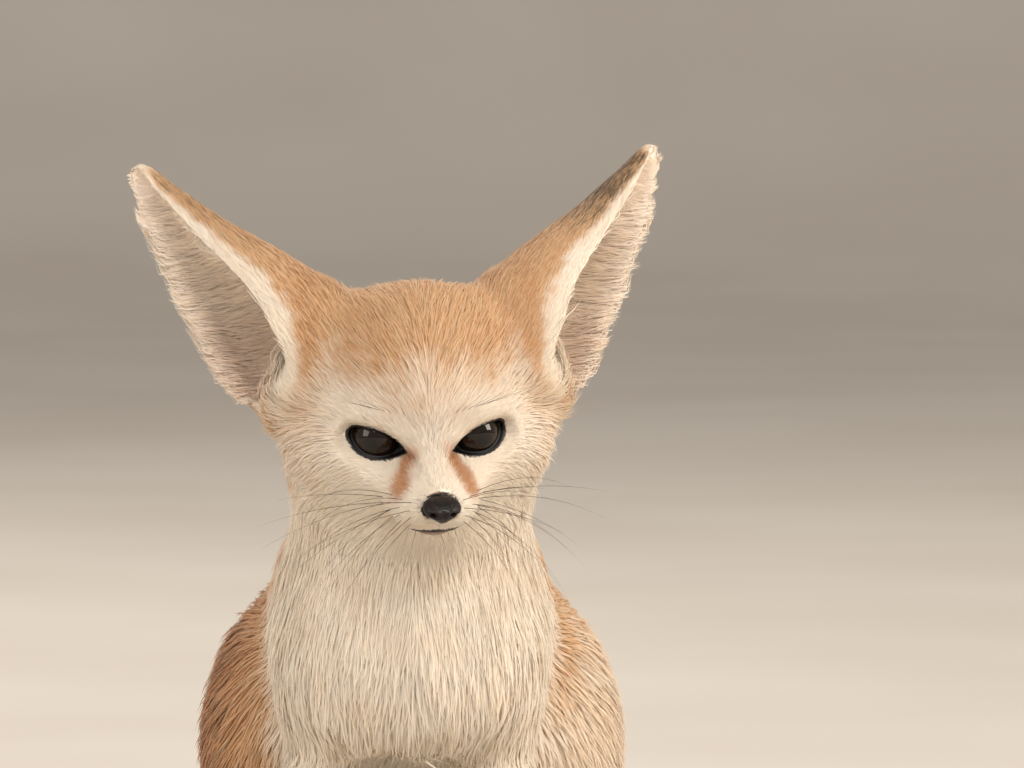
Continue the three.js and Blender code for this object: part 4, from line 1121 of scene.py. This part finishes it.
hair_length, hair_width, hair_lift = (coat_value(key) for key in ("length", "width", "lift"))
hair_density = coat_value("per_mm2")
hair_length = hair_length * (1 - on["ear"] * (0.45 + 0.3 * ear_inside) * ramp(ear_below, 34, 8))
inner_rim = ear_inside * on["ear"] * ramp(-ear_turn - ear_open, 46, 16) * (ear_turn < 0)
hair_length = hair_length * (1 + 1.0 * inner_rim * ramp(ear_below, 12, 44))
hair_lift = hair_lift + 22 * inner_rim
hair_length = hair_length * (1 - 0.75 * on["tail"] * ramp(body_y, 165, 208))
mouth_gap = np.min(np.linalg.norm(form[:, None] - mouth_line[None, ::4], axis=2), 1) / MM
hair_length = np.where(mouth_gap < 6, np.minimum(hair_length, 0.9 + 0.45 * mouth_gap), hair_length)
hair_length = np.where(eye_gap < 5, np.minimum(hair_length, 1.6 + 0.7 * eye_gap), hair_length)
hair_length = eased(hair_length[:, None], 1)[:, 0]
hair_lift = np.radians(hair_lift)

# The lie of the coat at each vertex, laid into the hide's surface and combed smooth.
away = unit(head_place - NOSE_AT - np.array([0, -6, 4]))
away[:, 2] -= 0.95 * ramp(np.abs(x), 18, 40) * ramp(z, 12, -8)
away[:, 0] += np.sign(x) * 0.25 * ramp(z, 0, 20)
head_lie = away @ head_axes.T
for side in SIDES:
    place = in_eye(form, side)
    radial = place * np.array([1, 1, 0])
    radial = (unit(radial) @ eye_directions(side)) @ head_axes.T
    near = (ramp(beside_almond(place), 8, 1.5) * (place[:, 2] > 0))[:, None]
    into = np.minimum(np.sum(head_lie * radial, 1, keepdims=True), 0)
    head_lie = head_lie + near * (radial * 0.45 - radial * into)
ear_up = (EAR_LEAN * mirror) @ ear_axes.T
toward_outer = -np.cross(ear_up, ear_outward) * side_of_head[:, None]
ear_lie = ear_up * (1 - ear_inside)[:, None]
ear_lie += ear_inside[:, None] * (toward_outer + 0.3 * ear_up)
down, rear = np.array([0, 0, -1.0]), np.array([0, 1.0, 0])
front_share = ramp(body_y, -92, -128)[:, None]
trunk_lie = (1 - front_share) * (rear + 0.38 * down) + front_share * down
outward_x = np.stack([np.sign(body_x - body_middle), 0 * body_x, 0 * body_x], 1)
tail_at = np.argmin(((form[:, None] / MM - TAIL_LINE[None, :-1]) ** 2).sum(2), 1)
tail_lie = unit(TAIL_LINE[tail_at + 1] - TAIL_LINE[tail_at])
neck_rear = 0.3 * rear * ramp(body_y, -150, -110)[:, None]
part_lie = {
    "head": head_lie,
    "ear": ear_lie,
    "neck": down + neck_rear + 0.12 * outward_x,
    "torso": trunk_lie + 0.1 * outward_x,
    "thigh": down * 0.8 + rear * 0.6,
    "foreleg": down + 0.25 * rear,
    "forepaw": -rear * 0.9 + down * 0.45,
    "hindpaw": -rear * 0.9 + down * 0.45,
    "tail": tail_lie,
}
lie = sum(on[part][:, None] * unit(way) for part, way in part_lie.items())


def laid(vectors):
    """Directions laid into the surface of the hide."""
    return unit(vectors - normals * np.sum(vectors * normals, 1, keepdims=True))


lie = laid(lie)
for _ in range(4):
    lie = laid(eased(lie, 3))

# A comb drawn from every vertex along the lie, so that long hair keeps to the form beneath it.
# The tree holds points in front of the hide, which keeps the two faces of an ear apart.
COMB_LIFT = 2 * MM
COMB_STEPS = 3


def points_tree(points):
    """A tree that finds the nearest of some points, by its number."""
    tree = KDTree(len(points))
    for number, point in enumerate(points):
        tree.insert(point, number)
    tree.balance()
    return tree


hide_points = points_tree(form + normals * COMB_LIFT)
combed = np.zeros((len(form), len(HAIR_PLACES), 3))
combed_out = np.repeat(normals[:, None], len(HAIR_PLACES), 1)
spot, lie_here, out_here = form.copy(), lie.copy(), normals.copy()
for stage in range(1, len(HAIR_PLACES)):
    step = hair_length[:, None] * MM * (HAIR_PLACES[stage] - HAIR_PLACES[stage - 1]) / COMB_STEPS
    for _ in range(COMB_STEPS):
        spot = spot + lie_here * step
        found = np.array([hide_points.find(place)[1] for place in spot + out_here * COMB_LIFT])
        facing = (np.sum(normals[found] * out_here, 1) > 0.1)[:, None]
        sunk = np.sum((spot - form[found]) * normals[found], 1, keepdims=True)
        spot = np.where(facing, spot - normals[found] * sunk, spot)
        lie_here = np.where(facing, lie[found], lie_here)
        out_here = np.where(facing, normals[found], out_here)
    combed[:, stage] = spot - form
    combed_out[:, stage] = out_here

# The hide's unwrap, on a coarse copy of its shape, which gives each tuft its patch of the map.
PATCH = 0.003
PATTERN_SHARE = 0.08
PATTERN_ANGLE, PATTERN_MARGIN = math.radians(66), 0.004
pattern = add_object("pattern", hide.data.copy())
apply_modifier(pattern, "DECIMATE", ratio=PATTERN_SHARE)
apply_modifier(pattern, "TRIANGULATE")
unwrap = {"angle_limit": PATTERN_ANGLE, "island_margin": PATTERN_MARGIN}
edit_whole(pattern, bpy.ops.uv.smart_project, **unwrap)
pattern_faces = faces_of(pattern.data, 3)
pattern_points = vertices_of(pattern.data)
pattern_uv = np.empty(len(pattern.data.loops) * 2, np.float32)
pattern.data.uv_layers.active.data.foreach_get("uv", pattern_uv)
pattern_uv = pattern_uv.reshape(-1, 3, 2)
pattern_tree = tree_of(pattern_points, pattern_faces)
bpy.data.objects.remove(pattern)


def unwrapped(points):
    """The places of points on the hide's unwrap."""
    found = [pattern_tree.find_nearest(point) for point in points]
    face = np.array([hit[2] for hit in found])
    at = np.array([hit[0] for hit in found])
    a, b, c = (pattern_points[pattern_faces[face, n]] for n in range(3))
    whole = np.cross(b - a, c - a)
    size = np.maximum((whole**2).sum(1), 1e-18)
    u = (np.cross(c - b, at - b) * whole).sum(1) / size
    v = (np.cross(a - c, at - c) * whole).sum(1) / size
    shares = np.clip(np.stack([u, v, 1 - u - v], 1), 0, 1)
    return (pattern_uv[face] * shares[:, :, None]).sum(1)


hair_triangles = np.concatenate([quads[:, [0, 1, 2]], quads[:, [0, 2, 3]]])
corner_a, corner_b, corner_c = (form[hair_triangles[:, n]] for n in range(3))
spanned = np.cross(corner_b - corner_a, corner_c - corner_a)
triangle_area = 0.5 * np.linalg.norm(spanned, axis=1) / MM**2
mouth_tree = points_tree(mouth_line)
LIP_WIDTH = 1.5 * MM
MOUTH_REACH = 16 * MM
LID_WIDTH = 0.45


def kept_clear(stations):
    """Which hairs stay off the eyes, the nose and the mouth."""
    clear = np.ones(len(stations), bool)
    middle = mouth_line.mean(0)
    for hair in np.flatnonzero((np.linalg.norm(stations - middle, axis=2) < MOUTH_REACH).any(1)):
        clear[hair] = all(mouth_tree.find(place)[2] > LIP_WIDTH for place in stations[hair])
    for side in SIDES:
        place = in_eye(stations, side)
        over = (beside_almond(place) < LID_WIDTH) & (place[..., 2] > 0)
        over &= place[..., 2] < SOCKET_REACH
        clear &= ~over.any(1)
    nose_share = np.linalg.norm((in_head(stations) - NOSE_AT) / (NOSE_SIZE - 0.1), axis=-1)
    return clear & (nose_share > 1).all(1)


# Hairs leave out a zone where it fades away, start under the skin and stay off the floor. Toward
# the tip a hair is drawn to the one in the middle of its clump.
LEAST_SHARE = 0.02
ROOT_SUNK = 0.15 * MM
HAIR_ABOVE_FLOOR = 0.25 * MM
STRETCH = (0.72, 1.2)
RISE_SPREAD, RISE_LIMITS = 0.4, (0.15, 2.4)
RISE_SAG = 0.4
CLUMP_GATHER, CLUMP_SPREAD = 0.8, (0.3, 1.2)
BLADE_ROLL, BLADE_SHADING = 0.5, 0.4


def grow_coat(name, slot, finish, zones, seed, clump=0.5, per_clump=26, sway=0.13, only=None):
    """A piece of coat over some zones of the hide: hairs drawn together in clumps, joined as one
    mesh, with the markings at their roots and their patches on the map."""
    chance = np.random.default_rng(seed)
    share = sum(grows[zone] for zone in zones) / total_share
    if only is not None:
        share = share * only
    per_triangle = triangle_area * (hair_density * share)[hair_triangles].mean(1)
    per_triangle *= share[hair_triangles].mean(1) > LEAST_SHARE
    count = np.floor(per_triangle + chance.random(len(per_triangle))).astype(int)
    face = np.repeat(np.arange(len(count)), count)
    root_share, side_share = chance.random((2, len(face)))
    root_share = np.sqrt(root_share)
    weights = np.stack([1 - root_share, root_share * (1 - side_share), root_share * side_share], 1)

    def here(values):
        corners = values[hair_triangles[face]]
        return np.einsum("ij,ij...->i...", weights, corners)

    root, length, width = here(form), here(hair_length) * MM, here(hair_width) * MM
    outward = unit(here(combed_out))
    stretch = chance.uniform(*STRETCH, len(root))
    rise = here(hair_lift) * np.clip(chance.normal(1, RISE_SPREAD, len(root)), *RISE_LIMITS)
    bend = chance.normal(0, sway, len(root))
    shares = HAIR_PLACES[None, :, None]
    path = root[:, None] + here(combed) * stretch[:, None, None]
    up = np.sin(rise)[:, None, None] * (length * stretch)[:, None, None]
    path = path + outward * (up * shares * (1 - RISE_SAG * shares))
    along = unit(np.gradient(path, axis=1))
    aside_way = unit(np.cross(along, outward))
    path = path + aside_way * (bend * length)[:, None, None] * shares**1.5
    centres = chance.choice(len(root), max(len(root) // per_clump, 1), replace=False)
    clumps = points_tree(root[centres])
    leader = centres[[clumps.find(point)[1] for point in root]]
    drawn = path[leader] + (root - root[leader])[:, None] * (1 - CLUMP_GATHER * shares)
    pull = clump * chance.uniform(*CLUMP_SPREAD, len(root))[:, None, None] * shares
    path = path + (drawn - path) * np.clip(pull, 0, 1)
    path[:, 0] -= outward[:, 0] * ROOT_SUNK
    path[..., 2] = np.maximum(path[..., 2], HAIR_ABOVE_FLOOR)
    keep = kept_clear(path)
    path, outward, root, width = path[keep], outward[keep], root[keep], width[keep]
    marks_here, inner_here = here(marks)[keep], here(inner_ear)[keep]

    along = unit(np.gradient(path, axis=1))
    facing = unit(outward - along * np.sum(outward * along, 2, keepdims=True))
    aside_way = np.cross(along, facing)
    roll = chance.uniform(-BLADE_ROLL, BLADE_ROLL, len(root))[:, None, None]
    blade = aside_way * np.cos(roll) + facing * np.sin(roll)
    half = 0.5 * width[:, None, None] * HAIR_WIDTHS[None, :, None]
    left, right = path[:, :3] - blade[:, :3] * half, path[:, :3] + blade[:, :3] * half
    points = np.concatenate([left, right, path[:, 3:]], 1)
    soft = 0.6 * facing + 1.4 * outward
    turned = BLADE_SHADING * blade[:, :3]
    shading = np.concatenate([soft[:, :3] - turned, soft[:, :3] + turned, soft[:, 3:]], 1)
    number = len(root)
    loops = (np.arange(number)[:, None] * TUFT_POINTS + TUFT_CORNERS).ravel()
    sizes = np.tile(TUFT_FACES, number)
    mesh = bpy.data.meshes.new(name)
    mesh.vertices.add(number * TUFT_POINTS)
    mesh.vertices.foreach_set("co", points.astype(np.float32).ravel())
    mesh.loops.add(len(loops))
    mesh.loops.foreach_set("vertex_index", loops.astype(np.int32))
    mesh.polygons.add(len(sizes))
    mesh.polygons.foreach_set("loop_start", (np.cumsum(sizes) - sizes).astype(np.int32))
    mesh.polygons.foreach_set("use_smooth", np.ones(len(sizes), bool))
    mesh.update()
    strand = [np.tile(TUFT_PLACES, number)]
    strand += [np.repeat(values, TUFT_POINTS) for values in (chance.random(number), inner_here)]
    add_attribute(mesh, "Marks", np.repeat(marks_here, TUFT_POINTS, 0))
    add_attribute(mesh, "Strand", np.stack(strand, 1))
    spots = unwrapped(root)[:, None] + TUFT_PATCH * PATCH / 2
    bake = mesh.uv_layers.new(name="OFBake")
    bake.data.foreach_set("uv", spots.reshape(-1, 2)[loops].astype(np.float32).ravel())
    mesh.normals_split_custom_set_from_vertices(unit(shading).reshape(-1, 3))
    mesh.materials.append(finish)
    piece = add_object(name, mesh)
    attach(piece, "root")


LIGHT_THROUGH = 0.4


def fur_finish(name, roughness):
    """Hair: soft, a little sheen, and light passing through the thin tufts."""
    made, surface, place = material(name, roughness, Sheen_Weight=0.2, Specular_IOR_Level=0.3)
    colour = coat_colour(place)
    feed(surface, "Base Color", colour)
    through = colour.node("ShaderNodeBsdfTranslucent", None, {"Color": colour})
    shell = Signal(colour.tree, surface.outputs[0])
    mixed = colour.node("ShaderNodeMixShader", None, {0: LIGHT_THROUGH, 1: shell, 2: through})
    output = colour.tree.nodes["Material Output"]
    colour.tree.links.new(mixed.socket, output.inputs["Surface"])
    return made


short_hair = fur_finish("short hair", 0.7)
long_hair = fur_finish("long soft hair", 0.62)
left_half = (side_of_head > 0).astype(float)
grow_coat("coat_muzzle", "cream_coat", short_hair, ["muzzle"], 11, clump=0.25, sway=0.1)
grow_coat("coat_face", "cream_coat", short_hair, ["face"], 12, clump=0.35, sway=0.1)
grow_coat("coat_crown", "sandy_coat", long_hair, ["crown"], 13, clump=0.5)
grow_coat("coat_cheeks", "cream_coat", long_hair, ["cheek"], 14, clump=0.5)
for side, seed, half in (("left", 15, left_half), ("right", 16, 1 - left_half)):
    grow_coat(f"coat_ear_{side}", "sandy_coat", short_hair, ["ear_back"], seed, clump=0.3, only=half)
fringe = {"clump": 0.75, "per_clump": 36, "sway": 0.1}
grow_coat("coat_ear_insides", "cream_coat", long_hair, ["ear_inside"], 17, **fringe)
grow_coat("coat_chest", "cream_coat", long_hair, ["neck"], 18, clump=0.22, sway=0.1)
grow_coat("coat_back", "sandy_coat", long_hair, ["torso"], 19, clump=0.3)
grow_coat("coat_haunches", "rusty_coat", long_hair, ["thigh"], 20, clump=0.28)
grow_coat("coat_legs", "cream_coat", short_hair, ["foreleg", "forepaw", "hindpaw"], 21, clump=0.35)
grow_coat("coat_tail", "rusty_coat", long_hair, ["tail"], 22, clump=0.6)

# Under the hair the hide needs fewer faces than the coat needed to follow it.
HIDE_TRIANGLES = 180000
hide_share = HIDE_TRIANGLES / (2 * len(quads))
if hide_share < 1:
    apply_modifier(hide, "DECIMATE", ratio=hide_share)

# The claws
# Sixteen short claws of dark horn, four to a foot, curved and blunt from digging. Each is a piece
# of its own, rounded from its solid and set in the end of its toe among the short hair.
claw_finish, surface, place = material("claw horn", 0.35, Coat_Weight=0.2)
grain = place.noise(700, 2)
feed(surface, "Base Color", grain.between(0.35, 0.7).mix(paint(92, 74, 58), paint(54, 42, 34)))
for paw in ("forepaw", "hindpaw"):
    for side in SIDES:
        for number in range(1, 5):
            node = f"{paw}_{side}_claw_{number}"
            claw = copy_of_nodes(f"horn_{node}", [node])
            apply_modifier(claw, "SUBSURF", levels=2, render_levels=2)
            bpy.ops.object.shade_smooth()
            claw.data.materials.append(claw_finish)
            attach(claw, "root")
            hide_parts(node)

# The whiskers
# Stiff dark hairs, thick as a bristle at the root and drawn to a point: four rows on each side of
# the muzzle, a few over the eyes and under the chin.
WHISKER_ROWS = [
    {"height": -12.5, "rise": 24, "length": 44, "count": 3},
    {"height": -15.0, "rise": 8, "length": 50, "count": 4},
    {"height": -17.5, "rise": -8, "length": 42, "count": 4},
    {"height": -20.0, "rise": -28, "length": 30, "count": 4},
]
BROW_BRISTLES, CHIN_BRISTLES = 6, 3
WHISKER_STEPS = 12
whisker_chance = np.random.default_rng(31)


def whisker(start, way, length, droop, back, radius):
    """A curved bristle from a place on the head: its way bends down and back along its length."""
    share = np.linspace(0, 1, WHISKER_STEPS)[:, None]
    way = unit(np.array(way, float))
    line = np.array(start) + way * length * share
    line = line + np.array([0, back, -droop]) * length * share**2.2
    return from_head(line), radius * MM * np.clip(1 - share[:, 0], 0.04, 1) ** 0.7


# Each bristle starts where a line from inside the head comes out of the hide. Its last two values
# are how far it bends back, as a share of its length, and its radius at the root.
bristles = []
for sign in SIDES.values():
    for row in WHISKER_ROWS:
        for n in range(row["count"]):
            turn = math.radians(30 + 13 * n)
            inside = (sign * 3, -22 + 2.5 * n, row["height"])
            start, _ = on_hide(inside, (sign * math.sin(turn), -math.cos(turn), 0))
            rise = math.radians(row["rise"] + whisker_chance.uniform(-7, 7))
            ahead = math.radians(52 + 9 * n + whisker_chance.uniform(-5, 5))
            level = math.cos(rise)
            way = (sign * math.sin(ahead) * level, -math.cos(ahead) * level, math.sin(rise))
            length = row["length"] * whisker_chance.uniform(0.75, 1.08)
            droop = (0.4 if row["rise"] > 0 else 0.5) * whisker_chance.uniform(0.7, 1.3)
            bristles.append(whisker(start, way, length, droop, 0.32, 0.11))
    for n in range(BROW_BRISTLES):
        start, _ = on_hide((sign * (6 + 2.2 * n), 6, 9 + 0.4 * n), (0.15 * sign, -1, 0.15))
        way = (sign * (0.25 + 0.14 * n), -0.75, 0.75 - 0.03 * n)
        length = whisker_chance.uniform(17, 26)
        bristles.append(whisker(start, way, length, whisker_chance.uniform(0.1, 0.35), 0.5, 0.09))
    for n in range(CHIN_BRISTLES):
        start, _ = on_hide((sign * (2 + 2.5 * n), -16, -26), (0.2 * sign, -0.6, -0.8))
        way = (sign * 0.3, -0.5, -0.8)
        bristles.append(whisker(start, way, whisker_chance.uniform(9, 14), 0.25, 0.3, 0.08))
bristle_pieces = [cord_mesh("whisker", line, radii, 4) for line, radii in bristles]
whiskers = join(bristle_pieces, bristle_pieces[0])
whiskers.name = "whiskers"
face_outward(whiskers)
whisker_finish, surface, place = material("whisker bristle", 0.4)
shade = place.noise(90, 1).between(0.4, 0.7)
feed(surface, "Base Color", shade.mix(paint(34, 26, 22), paint(84, 66, 54)))
whiskers.data.materials.append(whisker_finish)
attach(whiskers, "root")

# The studio
# A pale floor that sweeps up into a plain backdrop, soft lights, and the camera at the height and
# distance of the photograph.
SWEEP_WIDTH = 9.0
SWEEP = [(-5, 0), (3.6, 0), (4.0, 0.04), (4.3, 0.16), (4.55, 0.4), (4.67, 0.75), (4.7, 4.2)]
sweep_ends = (-SWEEP_WIDTH / 2, SWEEP_WIDTH / 2)
rings = [np.array([[end, behind, height] for end in sweep_ends]) for behind, height in SWEEP]
sweep = ring_mesh("studio_sweep", rings, closed_round=False)
sweep.data.flip_normals()
apply_modifier(sweep, "SUBSURF", levels=2, render_levels=2, subdivision_type="CATMULL_CLARK")
sweep_finish, surface, place = material("pale paper", 0.9)
shade = place.noise(3, 2).between(0.3, 0.7)
feed(surface, "Base Color", shade.mix(paint(206, 198, 188), paint(212, 205, 196)))
sweep.data.materials.append(sweep_finish)

world = bpy.data.worlds.new("studio")
bpy.context.scene.world = world
world.use_nodes = True
sky = world.node_tree.nodes["Background"]
sky.inputs["Color"].default_value = paint(240, 235, 228)
sky.inputs["Strength"].default_value = 0.55


def soft_light(name, place, size, power, colour):
    """A rectangular soft light that looks at the fox's head: its size in metres, power in watts."""
    lamp = bpy.data.lights.new(name, "AREA")
    lamp.shape = "RECTANGLE"
    lamp.size, lamp.size_y = size
    lamp.energy = power
    lamp.color = colour[:3]
    holder = add_object(name, lamp)
    holder.location = place
    toward = head_at - Vector(place)
    holder.rotation_euler = toward.to_track_quat("-Z", "Y").to_euler()


WARM, WARMER, COOL = paint(255, 248, 240), paint(255, 246, 234), paint(240, 246, 255)
soft_light("key", (0.62, -1.95, 1.7), (0.54, 0.4), 19, WARM)
soft_light("catch", (-0.12, -1.9, 1.38), (0.56, 0.24), 8, COOL)
soft_light("fill", (-1.9, -1.4, 0.9), (1.3, 1.1), 20, WARM)
soft_light("side", (2.0, -0.7, 1.1), (1.0, 1.0), 40, WARMER)
soft_light("rim", (-0.8, 1.5, 1.6), (1.0, 0.7), 20, WARMER)

# The point between the eyes stands left of the picture's middle and below it, in its pixels.
CAMERA_DOWN = math.radians(3.5)
CAMERA_DISTANCE = 3.6
FRAME_WIDTH = 0.353
PICTURE_WIDTH = 1024
SENSOR_WIDTH = 36
SIGHT_END = 20
SEEN_EYES_OFF = (1.2, 0, -3.06)
middle_right, middle_up = 83.5, 57
pixel = FRAME_WIDTH / PICTURE_WIDTH
sight = Vector((0, math.cos(CAMERA_DOWN), -math.sin(CAMERA_DOWN)))
upward = Vector((0, math.sin(CAMERA_DOWN), math.cos(CAMERA_DOWN)))
seen_eyes = head_at + Vector(SEEN_EYES_OFF) * MM
target = seen_eyes + Vector((1, 0, 0)) * middle_right * pixel + upward * middle_up * pixel
lens = bpy.data.cameras.new("camera")
lens.sensor_width = SENSOR_WIDTH
lens.lens = SENSOR_WIDTH * CAMERA_DISTANCE / FRAME_WIDTH
lens.clip_end = SIGHT_END
camera = add_object("camera", lens)
camera.location = target - sight * CAMERA_DISTANCE
camera.rotation_euler = sight.to_track_quat("-Z", "Y").to_euler()
bpy.context.scene.camera = camera
bpy.context.scene.view_settings.view_transform = "Standard"
